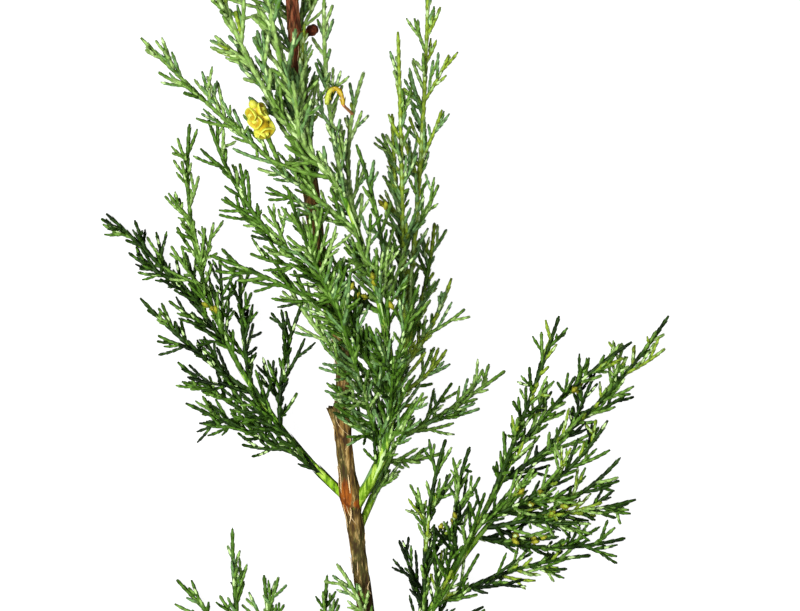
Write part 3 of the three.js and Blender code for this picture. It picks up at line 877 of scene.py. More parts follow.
class Look:
    """A material with a principled shader, and short ways to add nodes to it."""

    def __init__(self, name, color, roughness, shine=SHINE):
        self.material = bpy.data.materials.new(name)
        self.material.use_nodes = True
        self.tree = self.material.node_tree
        self.shader = self.tree.nodes["Principled BSDF"]
        self.shader.inputs["Base Color"].default_value = linear(color)
        self.shader.inputs["Roughness"].default_value = roughness
        self.shader.inputs["Specular IOR Level"].default_value = shine

    def node(self, kind, **inputs):
        made = self.tree.nodes.new(kind)
        for name, value in inputs.items():
            self.feed(made.inputs[name], value)
        return made

    def feed(self, socket, value):
        """Sets a socket to a plain value, or links it to another."""
        if isinstance(value, bpy.types.NodeSocket):
            self.tree.links.new(value, socket)
        else:
            socket.default_value = value

    def places(self, stretch):
        """The object's own coordinates, drawn out along its length."""
        coordinates = self.node("ShaderNodeTexCoord")
        return self.node("ShaderNodeMapping", Vector=coordinates.outputs["Object"], Scale=stretch).outputs[0]

    def noise(self, places, scale, detail):
        settings = dict(Vector=places, Scale=scale, Detail=detail, Roughness=NOISE_ROUGHNESS)
        return self.node("ShaderNodeTexNoise", **settings).outputs["Fac"]

    def band(self, value, low, high):
        """0 below low, 1 above high, and an even rise between. A high that is below low turns it round."""
        settings = {"Value": value, "From Min": low, "From Max": high}
        return self.node("ShaderNodeMapRange", **settings).outputs["Result"]

    def value(self, name):
        made = self.node("ShaderNodeAttribute")
        made.attribute_name = name
        return made.outputs["Fac"]

    def times(self, a, b):
        made = self.node("ShaderNodeMath")
        made.operation = "MULTIPLY"
        self.feed(made.inputs[0], a)
        self.feed(made.inputs[1], b)
        return made.outputs[0]

    def mix(self, amount, under, over):
        made = self.node("ShaderNodeMix")
        made.data_type = "RGBA"
        self.feed(made.inputs["Factor"], amount)
        for name, color in (("A", under), ("B", over)):
            socket = next(s for s in made.inputs if s.name == name and s.type == "RGBA")
            self.feed(socket, color if isinstance(color, bpy.types.NodeSocket) else linear(color))
        return next(s for s in made.outputs if s.type == "RGBA")

    def blend(self, value, band, under, over, most=None):
        """Goes from one colour to another over a band of a value, all the way or so far at most."""
        amount = self.band(value, *band)
        return self.mix(self.times(amount, most) if most else amount, under, over)

    def finished(self, color, grain, roughness, depth):
        """The material with its colour, and with a grain that roughens and raises it."""
        settings = {"Value": grain, "To Min": roughness[0], "To Max": roughness[1]}
        rough = self.node("ShaderNodeMapRange", **settings).outputs["Result"]
        relief = self.node("ShaderNodeBump", Height=grain, Distance=depth * MM).outputs[0]
        for name, socket in (("Base Color", color), ("Roughness", rough), ("Normal", relief)):
            self.feed(self.shader.inputs[name], socket)
        return self.material


# How noise is drawn out along the stem in fibres, and along the boughs in patches
ALONG_STEM = (1, 0.16, 1)
IN_PATCHES = (1, 0.5, 1)


def bark_look():
    """Brown bark in fibres along the stem, painted shade in its furrows, orange where it has peeled at the
    fork.
    """
    look = Look("stem_bark", (108, 86, 42), roughness=0.85)
    places = look.places(ALONG_STEM)
    fibres = look.noise(places, scale=1500, detail=6)
    patches = look.noise(places, scale=420, detail=3)
    brown = look.blend(patches, (0.42, 0.58), (54, 52, 22), (96, 72, 32))
    # Painted sheen: the red bark towards the top has pale pink patches that stand in for its gloss
    red_with_painted_sheen = look.blend(patches, (0.48, 0.56), (96, 32, 22), (164, 96, 66))
    redder = look.mix(look.value("height"), brown, red_with_painted_sheen)
    pale = look.blend(fibres, (0.54, 0.62), redder, (144, 122, 76), most=0.7)
    dark = look.blend(fibres, (0.48, 0.41), pale, (40, 26, 12), most=0.85)
    # Painted shade: the furrows are darkened nearly to black
    furrow_shaded = look.mix(look.value("furrow_shade"), dark, (36, 24, 12))
    green = look.blend(fibres, (0.4, 0.6), (56, 92, 22), (112, 148, 50))
    grown = look.mix(look.value("green"), furrow_shaded, green)
    peeled = look.blend(fibres, (0.4, 0.6), (70, 31, 5), (116, 62, 15))
    color = look.mix(look.value("peeled"), grown, peeled)
    return look.finished(color, fibres, roughness=(0.72, 0.92), depth=0.12)


def green_bark_look():
    """Green bark with streaks along it, yellow-green where it is bright at the bough's root."""
    look = Look("bough_bark", (80, 120, 12), roughness=0.7)
    streaks = look.noise(look.places(ALONG_STEM), scale=1300, detail=4)
    patches = look.noise(look.places(IN_PATCHES), scale=160, detail=3)
    outer = look.blend(patches, (0.4, 0.6), (38, 74, 8), (58, 98, 14))
    root = look.blend(patches, (0.4, 0.6), (74, 106, 8), (98, 134, 16))
    base = look.mix(look.value("bright"), outer, root)
    light = look.blend(streaks, (0.52, 0.62), base, (136, 160, 62), most=0.8)
    dark = look.blend(streaks, (0.48, 0.4), light, (34, 56, 6), most=0.8)
    return look.finished(dark, streaks, roughness=(0.58, 0.78), depth=0.06)


def wood_look():
    """Pale cut wood in faint rings, dark at the edge under the bark."""
    look = Look("cut_wood", (206, 184, 128), roughness=0.7)
    grain = look.noise(look.places(EVEN), scale=2600, detail=5)
    pale = look.blend(grain, (0.35, 0.65), (196, 170, 112), (222, 202, 150))
    ringed = look.mix(look.times(look.value("ring"), 0.6), pale, (150, 112, 62))
    return look.finished(ringed, grain, roughness=(0.6, 0.8), depth=0.04)


def plain_look(name, color, roughness):
    return Look(name, color, roughness).material


def dry_look():
    """Dry brown scales, paler at random, on a yellow-brown neck."""
    look = Look("dry_scale", (58, 29, 16), roughness=0.8)
    grain = look.noise(look.places(EVEN), scale=1100, detail=4)
    ball = look.blend(grain, (0.42, 0.62), (38, 14, 6), (74, 34, 16))
    color = look.mix(look.value("neck"), ball, (104, 84, 30))
    return look.finished(color, grain, roughness=(0.7, 0.9), depth=0.05)


def scale_look():
    """Cone scales: golden in the dish, pale on the rim and the boss."""
    look = Look("cone_scale", (205, 172, 14), roughness=0.5, shine=0.3)
    grain = look.noise(look.places(EVEN), scale=900, detail=4)
    golden = look.blend(grain, (0.4, 0.6), (128, 100, 4), (156, 134, 14))
    color = look.mix(look.value("pale"), golden, (168, 178, 62))
    return look.finished(color, grain, roughness=(0.4, 0.6), depth=0.05)


# Stem: its bark in relief, the cut wood at its foot, and threads of peeling bark

# Bark: plates, fibres and ridges in cells so long, so many of them round the stem, the furrows between
# plates and how much painted shade darkens them, and how much the stem swells towards its boughs
BARK_STEP = 0.3
BARK_SIDES = 64
BARK_SEED = 5
PLATES = (8, 11)
PLATE_DEPTH = 0.13
FIBRES = (2.2, 32)
RIDGES = (9, 11)
FIBRE_DEPTH = 0.1
FURROW_WIDTH = 0.22
FURROW_SHADE = 0.8
COLLAR = 0.4
COLLAR_REACH = 2.2

# The heights above the fork between which bark turns red with pale patches of painted sheen, and how red it
# gets
REDDEST_Y = (45, 105)
REDDEST = 0.85

# Where the stem is still green, its ragged lower edge, and how soft its edges are
GREEN_BAND = (31, 36.8)
GREEN_EDGE = dict(depth=1.4, fast=5, slow=2.2)
GREEN_SOFT = (1.4, 0.4)

# Where bark has peeled at the fork: place on the stem's near side, and half sizes across and along it. How
# far under the stem's line this starts and how soon it is full, its ragged ends, its edge in half sizes, and
# how soft that is
PEELED = [(-1.2, -0.8, 1.15, 3.2), (1.3, -2.4, 1, 0.8)]
PEELED_UNDER = 0.9
PEELED_RISE = 0.8
PEELED_ENDS = dict(depth=0.22, fast=9, slow=4, shift=1)
PEELED_EDGE = 1.12
PEELED_SOFT = 0.2

# Cells over a tube: how far their middles may be moved, the rows to spare, and a distance larger than any in
# them
CELL_JITTER = (0.1, 0.9)
SPARE_ROWS = 4
FIRST_ROW = 1.5
FAR = 9.0


def cells_round(along, turn, cell, columns, seed):
    """Jittered cells over a tube: how far the nearest cell's middle is, and the next one's, and its draw."""
    rng = np.random.default_rng(seed)
    rows = math.ceil(along.max() / cell) + SPARE_ROWS
    jitter = rng.uniform(*CELL_JITTER, (rows, columns, 2))
    height = rng.uniform(0, 1, (rows, columns))
    v = along / cell + FIRST_ROW
    u = turn / TURN * columns
    best = np.full(along.shape, FAR)
    second = np.full(along.shape, FAR)
    drawn = np.zeros(along.shape)
    for dv in (-1, 0, 1):
        for du in (-1, 0, 1):
            row = np.floor(v).astype(int) + dv
            column = np.floor(u).astype(int) + du
            spot = jitter[row, column % columns]
            away = np.hypot(v - row - spot[..., 0], u - column - spot[..., 1])
            nearer = away < best
            second = np.where(nearer, best, np.minimum(second, away))
            drawn = np.where(nearer, height[row, column % columns], drawn)
            best = np.where(nearer, away, best)
    return best, second, drawn


def soft_noise(along, turn, cell, columns, seed):
    """Smooth noise from -1 to 1 over a tube, in cells so long, so many of them round it."""
    rows = math.ceil(along.max() / cell) + 2
    values = np.random.default_rng(seed).uniform(-1, 1, (rows, columns))
    v = along / cell
    u = turn / TURN * columns
    row = np.floor(v).astype(int)
    column = np.floor(u).astype(int)
    dv = smooth(v - row)
    du = smooth(u - column)
    low = values[row, column % columns] * (1 - du) + values[row, (column + 1) % columns] * du
    high = values[row + 1, column % columns] * (1 - du) + values[row + 1, (column + 1) % columns] * du
    return low * (1 - dv) + high * dv


def bark_furrow(along, turn, seed):
    """How deep the bark is furrowed, from 0 to 1, between plates that are longer than wide."""
    nearest, second, _ = cells_round(along, turn, *PLATES, seed)
    return 1 - smooth((second - nearest) / FURROW_WIDTH)


def bark_out(along, turn, radius, seed):
    """The bark's relief as a multiple of the radius."""
    _, _, lift = cells_round(along, turn, *PLATES, seed)
    relief = PLATE_DEPTH * (lift - 0.5 - bark_furrow(along, turn, seed))
    relief += FIBRE_DEPTH * soft_noise(along, turn, *FIBRES, seed + 1)
    relief += FIBRE_DEPTH * soft_noise(along, turn, *RIDGES, seed + 2)
    return 1 + relief / radius


def collar(spots):
    """How much the stem swells towards the boughs that leave it, at points of its skin."""
    swell = np.zeros(spots.shape[:-1])
    for name in BOUGHS["stem"]:
        bough = limbs[name]
        root = bough.path.at(COLLAR_REACH / bough.path.length)
        away = np.linalg.norm(spots - root, axis=-1)
        swell = np.maximum(swell, COLLAR * bell(away, COLLAR_REACH))
    return swell


def ragged(x, depth, fast, slow, shift=0):
    """Uneven waves across the stem."""
    return depth * np.sin(x * fast) * np.sin(x * slow + shift)


def peeled_at(spots):
    """Whether bark has peeled at points of the skin, from 0 to 1."""
    bare = np.zeros(len(spots))
    line = stem_point(up(spots[:, 1]))
    on_top = smooth((spots[:, 2] - line[:, 2] + PEELED_UNDER) / PEELED_RISE)
    ends = ragged(spots[:, 0], **PEELED_ENDS)
    for x, y, across, along in PEELED:
        away = np.hypot((spots[:, 0] - x) / across, (spots[:, 1] - y) / along + ends)
        bare = np.maximum(bare, on_top * smooth((PEELED_EDGE - away) / PEELED_SOFT))
    return bare


def up_share(limb, along):
    """The limb's own parameter at so many millimetres from its root."""
    return limb.path.parameter(np.clip(along / limb.path.length, 0, 1))


def make_stem(stem, bark):
    """The stem's bark, with what its look has to know at each point."""
    def thickness(along):
        return stem_radius(up_share(stem, along))

    def out(along, turn):
        swell = collar(cord.spots(along, turn, np.ones(along.shape))) / thickness(along)
        return bark_out(along, turn, thickness(along), BARK_SEED) + swell

    cord = Cord(stem.path, thickness)
    spots, triangles = cord.tube(BARK_STEP, BARK_SIDES, out)
    # How deep each point lies in a furrow, which the look turns into painted shade
    furrow_shade = bark_furrow(*cord.grid(BARK_STEP, BARK_SIDES), BARK_SEED)
    x, y, _ = spots.T
    green_from = smooth((y - GREEN_BAND[0] + ragged(x, **GREEN_EDGE)) / GREEN_SOFT[0])
    values = {
        "furrow_shade": np.append(furrow_shade, [0, 0]) * FURROW_SHADE,
        "peeled": peeled_at(spots),
        "height": ramp(y, *REDDEST_Y) * REDDEST,
        "green": green_from * smooth((GREEN_BAND[1] - y) / GREEN_SOFT[1]),
    }
    add_piece("stem_bark", spots, triangles, bark, "bark", ["stem"], values)
    return cord


STUB_STEP = 0.3
STUB_SIDES = 26
STUB_SEED = 9
STUB_END_SEED = 4
STUB_RAGGED = 0.5


def make_stub(stem, bark):
    """The stub of a pruned branch, with a ragged end."""
    foot = stem.path.point(up(STUB["y"]))
    path = straight(foot, foot + STUB["reach"])
    cord = Cord(path, lambda along: lerp(STUB["radii"], np.clip(along / path.length, 0, 1)))

    def out(along, turn):
        return bark_out(along, turn, cord.radius(along), STUB_SEED)

    spots, triangles = cord.tube(STUB_STEP, STUB_SIDES, out)
    way = unit(path.at(1) - foot)
    rng = np.random.default_rng(STUB_END_SEED)
    spots[-STUB_SIDES - 2:-2] += way * rng.uniform(-STUB_RAGGED, STUB_RAGGED, (STUB_SIDES, 1))
    spots[-1] -= way * STUB_RAGGED
    values = {title: np.zeros(len(spots)) for title in ("furrow_shade", "peeled", "height", "green")}
    # Painted shade at the middle of the sunken end
    values["furrow_shade"][-1] = 1
    add_piece("pruned_stub", spots, triangles, bark, "bark", ["stem"], values)


# The cut face: its rings of points, its share of the stem's radius, how far it stands out, and the wood's
# pith and years
CUT_RINGS = 14
CUT_SIDES = 40
CUT_SHARE = 0.99
CUT_PROUD = 0.03
PITH = 0.12
YEARS = 4


def make_cut(stem, wood):
    """The cut face: a disc of wood in rings, just proud of the end of the bark."""
    heading = stem.path.slope(0)
    left, front = sides_of(heading[None, :])
    share = np.linspace(0, 1, CUT_RINGS)
    turn = turns(CUT_SIDES)
    radius = share[:, None] * CUT_RADIUS * CUT_SHARE
    disc = radius[..., None] * (left * np.cos(turn)[:, None] + front * np.sin(turn)[:, None])
    spots = stem.path.at(0) - heading * CUT_PROUD + disc.reshape(-1, 3)
    tone = np.repeat(np.where(share < PITH, 1, 0.5 + 0.5 * np.cos(share * TURN * YEARS)), CUT_SIDES)
    tone[-CUT_SIDES:] = 1
    triangles = skin_triangles(CUT_RINGS, CUT_SIDES)
    add_piece("cut_face", spots, triangles, wood, "bark", ["stem"], {"ring": tone})


# Threads of bark: how many, their sizes, how near to the stem's ends they may start, how far they swing round
# it and in what waves, how far out they lie and lift, how their width starts and ends, and their section
THREADS = 90
THREAD_SEED = 21
THREAD_STEPS = 14
THREAD_LENGTH = (2, 5)
THREAD_WIDTH = (0.08, 0.2)
THREAD_ENDS = (2, 12)
THREAD_SWING = (-0.9, 0.9)
THREAD_WAVES = (1.2, 3.2)
THREAD_OUT = 1.06
THREAD_LIFT = (0.02, 0.16)
THREAD_TAPER = (0.12, 0.92)
THREAD_SECTION = [(-1, 0), (0, 0.06), (1, 0), (0, -0.1)]


def make_threads(stem_cord, look):
    """Thin threads and edges of bark that peel from the stem."""
    rng = np.random.default_rng(THREAD_SEED)
    bundle = Bundle()
    step = np.linspace(0, 1, THREAD_STEPS)
    triangles = tube_triangles(THREAD_STEPS, len(THREAD_SECTION))
    for _ in range(THREADS):
        length = rng.uniform(*THREAD_LENGTH)
        along = rng.uniform(THREAD_ENDS[0], stem_cord.length - THREAD_ENDS[1]) + length * step
        turn = rng.uniform(0, TURN) + rng.uniform(*THREAD_SWING) * np.sin(step * rng.uniform(*THREAD_WAVES))
        lift = THREAD_OUT + rng.uniform(*THREAD_LIFT) * step**3
        width = rng.uniform(*THREAD_WIDTH) * np.sin(math.pi * lerp(THREAD_TAPER, step))
        thickness = stem_cord.radius(along)
        rows = []
        for across, extra in THREAD_SECTION:
            rows.append(stem_cord.spots(along, turn + across * width / thickness, lift + extra / thickness))
        bundle.add(closed(np.stack(rows, axis=1)), triangles)
    bundle.piece("bark_threads", look, "bark", ["stem"])


# Boughs: green bark in relief

# How a bough flares at its root and is rounded at its end, its relief in depths and cells, each bough's seed,
# and how far from its root its bark is bright
BOUGH_STEP = 0.4
BOUGH_SIDES = 20
FLARE = 0.35
FLARE_REACH = 2.4
BOUGH_END = 1
BOUGH_POINT = 0.02
BOUGH_OUT = 0.86
BOUGH_RELIEF = [(0.05, 6, 9), (0.03, 1.6, 13)]
BOUGH_SEED = 30
BOUGH_SEED_STEP = 7
BRIGHT_ROOT = (5, 14)


def make_bough(limb, look, seed):
    """The bark of a bough, bright near its root."""
    length = limb.path.length

    def radius(along):
        flare = 1 + FLARE * bell(along, FLARE_REACH)
        rounded = np.sqrt(np.clip((length - along) / BOUGH_END, BOUGH_POINT, 1))
        return limb.radius_at(np.clip(along / length, 0, 1)) * flare * rounded

    def out(along, turn):
        ridges = 0
        for n, (depth, cell, columns) in enumerate(BOUGH_RELIEF):
            ridges = ridges + depth * soft_noise(along, turn, cell, columns, seed + n)
        return BOUGH_OUT + ridges

    cord = Cord(limb.path, radius)
    spots, triangles = cord.tube(BOUGH_STEP, BOUGH_SIDES, out)
    from_root = np.linalg.norm(spots - limb.path.at(0), axis=1)
    values = {"bright": 1 - ramp(from_root, *BRIGHT_ROOT)}
    add_piece(limb.name + "_bark", spots, triangles, look, "green_bark", [limb.name], values)
    return cord


# Foliage: the tints of leaves, each with its colour, its roughness, and the next lighter and darker tint
TINTS = {
    # The darkest tints, shade and deep, stand partly for old dark shoots and partly for painted shade in the
    # inner foliage
    "shade": ((8, 21, 2), 0.55, "deep", "shade"),
    "deep": ((28, 50, 8), 0.5, "green", "shade"),
    "green": ((54, 85, 19), 0.48, "fresh", "deep"),
    "fresh": ((81, 112, 42), 0.46, "light", "green"),
    "light": ((112, 140, 72), 0.46, "pale", "fresh"),
    "glaucous": ((82, 114, 64), 0.5, "pale", "green"),
    "yellow_green": ((106, 128, 34), 0.48, "pale", "light"),
    # Pale is partly waxy bloom and partly painted glints
    "pale": ((142, 164, 108), 0.5, "pale", "light"),
    "pollen": ((122, 122, 30), 0.6, "yellow_green", "pollen"),
}

# The tints of the sprays on each limb, or of one spray, from dark twigs to light ones
# Darker palettes where sprays lie in shade and lighter ones at the top hold painted shade and painted light
BRIGHT_WITH_PAINTED_LIGHT = ("fresh", "light", "glaucous", "light", "yellow_green")
MIXED = ("shade", "deep", "green", "fresh", "yellow_green", "light")
PALETTES = {
    "left_bough": ("shade", "deep", "deep", "green", "fresh"),
    "left_low_spray": ("deep", "deep", "green", "green", "fresh"),
    "left_lower_middle_spray": ("deep", "deep", "green", "green", "fresh"),
    "left_tall_spray": ("deep", "green", "fresh", "fresh", "light"),
    "front_bough": ("deep", "green", "glaucous", "fresh", "light"),
    "front_lower_left_spray": ("deep", "green", "green", "fresh", "light"),
    "front_middle_left_spray": ("deep", "green", "green", "fresh", "light"),
    "front_upper_left_spray": ("green", "fresh", "glaucous", "light", "light"),
    "front_top_spray": BRIGHT_WITH_PAINTED_LIGHT,
    "front_right_spray": BRIGHT_WITH_PAINTED_LIGHT,
    "front_cone_spray": BRIGHT_WITH_PAINTED_LIGHT,
    "right_bough": ("green", "yellow_green", "glaucous", "fresh", "light"),
    "back_bough": ("green", "fresh", "glaucous", "fresh", "light"),
    "lower_right_bough": MIXED,
    "lower_right_side_bough": MIXED,
    "lower_left_bough": ("deep", "green", "fresh", "glaucous", "fresh"),
    "stem": BRIGHT_WITH_PAINTED_LIGHT,
}

# The shares of leaves that are pale, as waxy bloom and painted glints, a tint lighter and a tint darker, the
# youngest leaves of some shoots, so far from the tip, which are lighter, and how far a shoot's leaves may be
# rolled round it
PALE_BLOOM_AND_GLINT_SHARE = 0.05
LIGHTER_SHARE = 0.14
DARKER_SHARE = 0.18
YOUNG_TIP = 1
YOUNG_CHANCE = 0.35
LEAF_ROLL = 0.35
LEAF_SEED = 8

# Cords by level, from a spray's axis to its finest shoots: radii at root and tip, and the sides of the core.
# The cords of the sprays that stand highest are stouter. A pitch is so many radii, and the first leaf stands
# a share of one from the root. The long leaves of a bough have one tint of its palette.
CORDS = [((0.58, 0.4), 7), ((0.42, 0.34), 6), ((0.36, 0.31), 5), ((0.33, 0.29), 5)]
STOUT = dict(front_top_spray=1.25, front_crown_spray=1.25)
PITCH = 2.1
FIRST_LEAF = 0.4
TIP_TAPER = 0.6
TIP_POINT = 0.72
CORE_STEP = 1.1
# The cores are darker than their leaves by this share, as painted shade in the gaps between the leaves
CORE_PAINTED_SHADE = 0.8
LONG_PITCH = 4.2
LONG_TINT = 2

# Pollen catkins: the places where shoots end in them, how near to one, how many at each, the share of a short
# shoot that stays leafy, and the catkin's shape and scales
CATKIN_SPOTS = np.array([
    (18.2, -4.4), (36.2, -0.4), (42, -4.4), (32.2, -9.8), (37.8, -9.2), (44.2, 21.4),
    (4.7, 43.6), (2.2, 41.5), (6.8, 57.9), (6.6, 36.4), (-25, 28.8), (-28.6, 38.8),
])
CATKIN_NEAR = 2.2
CATKINS_EACH = 3
CATKIN_LEAST = 0.2
CATKIN = dict(length=1.8, neck=0.3, radius=0.55, step=0.3, sides=6, pitch=0.62, first=0.1, gape=0.12)


class Foliage:
    """Leaves sorted by tint, and the cores of the shoots that they stand on."""

    def __init__(self):
        self.leaves = {tint: Bundle() for tint in TINTS}
        self.cores = {tint: Bundle() for tint in TINTS}
        self.rng = np.random.default_rng(LEAF_SEED)

    def dress(self, cord, pitch, first, tint, gape=0):
        """Puts leaves on a cord, some lighter or darker than its tint. The youngest may be lighter."""
        roll = self.rng.uniform(-LEAF_ROLL, LEAF_ROLL)
        spots, base = leaves_on(cord, pitch, first, roll, gape)
        drawn = self.rng.random(len(base))
        young = (base > cord.length - YOUNG_TIP) & (self.rng.random() < YOUNG_CHANCE)
        _, _, lighter, darker = TINTS[tint]
        names = np.full(len(base), tint, dtype=object)
        names[drawn > 1 - DARKER_SHARE] = darker
        names[young | (drawn < LIGHTER_SHARE)] = lighter
        # Pale leaves: waxy bloom, and painted glints
        names[drawn < PALE_BLOOM_AND_GLINT_SHARE] = "pale"
        for name in TINTS:
            add_leaves(self.leaves[name], spots[names == name])

    def core(self, cord, step, sides, tint):
        self.cores[tint].add(*cord.tube(step, sides, CORE_OUT))


def palette_of(owner):
    """The palette of a spray, of the limb that it grows on, or of a limb itself."""
    return PALETTES.get(owner) or PALETTES[LIMB_OF[owner]]


def catkin_shoots():
    """The shoots that end in a catkin: the topmost few whose tips are near each of the places."""
    shoots = [twig for twig in twigs if twig.level > SIDE_LEVEL]
    tips = np.array([twig.path.at(1) for twig in shoots])
    chosen = []
    for spot in CATKIN_SPOTS:
        near = np.flatnonzero(np.linalg.norm(tips[:, :2] - spot, axis=1) < CATKIN_NEAR)
        topmost = near[np.argsort(-tips[near, 2])][:CATKINS_EACH]
        chosen += [shoots[n] for n in topmost]
    return chosen


def leafy_part(twig, bears_catkin):
    """The path of a twig up to its catkin, if it bears one."""
    if not bears_catkin:
        return twig.path
    share = max(CATKIN_LEAST, 1 - CATKIN["length"] / twig.path.length)
    return Path(lambda t: twig.path.at(np.asarray(t) * share))


def dress_twigs(foliage, with_catkins):
    for twig in twigs:
        radii, sides = CORDS[twig.level]
        radii = np.multiply(radii, STOUT.get(twig.owner, 1))
        path = leafy_part(twig, twig in with_catkins)
        cord = Cord(path, tapered(radii, path.length, TIP_TAPER, TIP_POINT))
        palette = palette_of(twig.owner)
        tint = palette[min(int(twig.tone * len(palette)), len(palette) - 1)]
        foliage.core(cord, CORE_STEP, sides, tint)
        pitch = PITCH * (radii[0] + radii[1]) / 2
        foliage.dress(cord, pitch, FIRST_LEAF * pitch, tint)


def dress_boughs(foliage, cords):
    """Long old scale leaves on the boughs."""
    for name, cord in cords.items():
        foliage.dress(cord, LONG_PITCH, LONG_PITCH, palette_of(name)[LONG_TINT])


def add_catkins(foliage, with_catkins):
    """Small pollen catkins at the tips of some shoots."""
    for twig in with_catkins:
        tip = twig.path.at(1)
        root = tip - twig.path.heading(1) * CATKIN["length"]
        cord = egg(root, tip, CATKIN["neck"], CATKIN["radius"])
        foliage.core(cord, CATKIN["step"], CATKIN["sides"], "pollen")
        foliage.dress(cord, CATKIN["pitch"], CATKIN["first"], "pollen", CATKIN["gape"])


def make_foliage(bough_cords):
    foliage = Foliage()
    with_catkins = catkin_shoots()
    dress_twigs(foliage, with_catkins)
    dress_boughs(foliage, bough_cords)
    add_catkins(foliage, with_catkins)
    dress_stalk(foliage, cone)
    for tint, (color, roughness, _, _) in TINTS.items():
        look = plain_look("leaf_" + tint, color, roughness)
        foliage.leaves[tint].piece("leaves_" + tint, look, "foliage", list(axes))
        if foliage.cores[tint].count:
            # Painted shade: each core is a darker copy of its leaves' tint
            core = plain_look("shoot_" + tint, np.multiply(color, CORE_PAINTED_SHADE), roughness)
            foliage.cores[tint].piece("shoots_" + tint, core, "foliage", list(axes))


# Pollen cones and the dried bud

# One cone scale, ring by ring: share of its outline, and height over it, from its boss to the stalk below.
# Then how pale each ring is.
SCALE_RINGS = np.array([
    (0.0, 0.22), (0.12, 0.4), (0.2, 0.4), (0.28, 0.18), (0.5, 0.1),
    (0.78, 0.14), (1.0, 0.24), (1.02, 0.12), (0.7, -0.3), (0.3, -1),
])
SCALE_PALE = np.array([0.5, 1, 1, 0.3, 0, 0.1, 0.9, 0.8, 0.1, 0])
SCALE_SEGMENTS = 32

# The power that shapes a scale's outline: 1 is a diamond and 2 is an oval
SCALE_POWER = 1.4

# Whorls of scales: height as a share of the cone's length, how many, and the turn between whorls. How the
# whole cone is turned, how much the outer whorls lean away and draw in, and the scales' place, half sizes and
# uneven tilt
WHORLS = [(-0.24, 4, 0.0), (0.02, 3, 0.3), (0.26, 3, 0.0)]
CONE_TURN = 0.4
WHORL_LEAN = 1.6
WHORL_DRAW_IN = 2
SCALE_OUT = 0.24
SCALE_SIZE = (0.33, 0.28)
SCALE_TILT = 0.16
SCALE_SEED = 17

# The large cone's core, as a share of its width, the bud at its tip, and the first leaf on its stalk
CONE_CORE = dict(share=0.24, step=0.4, sides=16)
CONE_BUD = dict(length=2, neck=0.5, radius=0.85, pale=0.6, step=0.2, sides=14)
STALK_SIDES = 6
STALK_FIRST_LEAF = 0.4

# The small cone: an arch of scales on a thin rough stalk
ARCH = dict(
    centre=(-3.2, 76.8, 28), half_width=1.6, rise=3.2, radii=(0.46, 0.62), step=0.4, sides=8,
    pitch=0.9, first=0.2, roll=0.3, gape=0.25,
)
SMALL_STALK = dict(radius=0.3, step=0.3, sides=10, rough=0.15, cells=(0.7, 5), seed=61)

# The dried bud: the length of its scales and how many go round it, how deep the creases are, and its neck
BUD_SCALES = (0.8, 7)
BUD_SEED = 71
BUD_STEP = 0.1
BUD_SIDES = 28
BUD_CREASE = 0.2
BUD_NECK = 0.9
BUD_NECK_END = 2


def scale_spots(middle, outward, upward, half_width, half_height):
    """The points of one shield-shaped scale: rings round its boss, out to the rim and back under it."""
    turn = turns(SCALE_SEGMENTS)
    sideways = np.cross(upward, outward)
    corner = np.abs(np.cos(turn)) ** SCALE_POWER + np.abs(np.sin(turn)) ** SCALE_POWER
    across = np.cos(turn) * half_width * corner ** (-1 / SCALE_POWER)
    along = np.sin(turn) * half_height * corner ** (-1 / SCALE_POWER)
    flat = across[:, None] * sideways + along[:, None] * upward
    share, height = SCALE_RINGS.T[..., None, None]
    return middle + share * flat + height * half_width * outward


def add_cone_core(bundle, width):
    """The core that the scales stand on, and the bud at its tip."""
    core = egg(cone.tip - cone.way * cone.length, cone.tip, 0, CONE_CORE["share"] * width)
    bundle.add(*core.tube(CONE_CORE["step"], CONE_CORE["sides"], 1))
    tip = cone.tip + cone.way * (CONE_BUD["length"] - 1)
    at_tip = egg(cone.tip - cone.way, tip, CONE_BUD["neck"], CONE_BUD["radius"])
    spots, triangles = at_tip.tube(CONE_BUD["step"], CONE_BUD["sides"], 1)
    bundle.add(spots, triangles, np.full(len(spots), CONE_BUD["pale"]))


def make_cone(look):
    """The large pollen cone: a core, and whorls of shield-shaped scales that cover it."""
    bundle = Bundle()
    width = POLLEN_CONE["width"]
    add_cone_core(bundle, width)
    rng = np.random.default_rng(SCALE_SEED)
    left, front = sides_of(cone.way)
    triangles = tube_triangles(len(SCALE_RINGS), SCALE_SEGMENTS)[:, ::-1]
    pale = np.append(np.repeat(SCALE_PALE, SCALE_SEGMENTS), [SCALE_PALE[0], 0])
    for level, count, offset in WHORLS:
        for i in range(count):
            turn = TURN * (i + offset) / count + CONE_TURN
            outward = unit(left * math.cos(turn) + front * math.sin(turn) + cone.way * level * WHORL_LEAN)
            outward = unit(outward + rng.normal(0, SCALE_TILT, 3))
            upward = unit(cone.way - outward * (cone.way @ outward))
            out = SCALE_OUT * width * math.cos(level * WHORL_DRAW_IN)
            middle = cone.middle + cone.way * level * cone.length + outward * out
            rings = scale_spots(middle, outward, upward, *np.multiply(SCALE_SIZE, width))
            bundle.add(closed(rings), triangles, pale)
    bundle.piece("pollen_cone_scales", look, "pollen", ["pollen_cone"], "pale")


def dress_stalk(foliage, stand):
    """The leafy stalk of a cone."""
    cord = Cord(straight(stand.foot, stand.middle), even(STALK_RADIUS))
    foliage.core(cord, CORE_STEP, STALK_SIDES, "fresh")
    foliage.dress(cord, PITCH * STALK_RADIUS, STALK_FIRST_LEAF, "fresh")


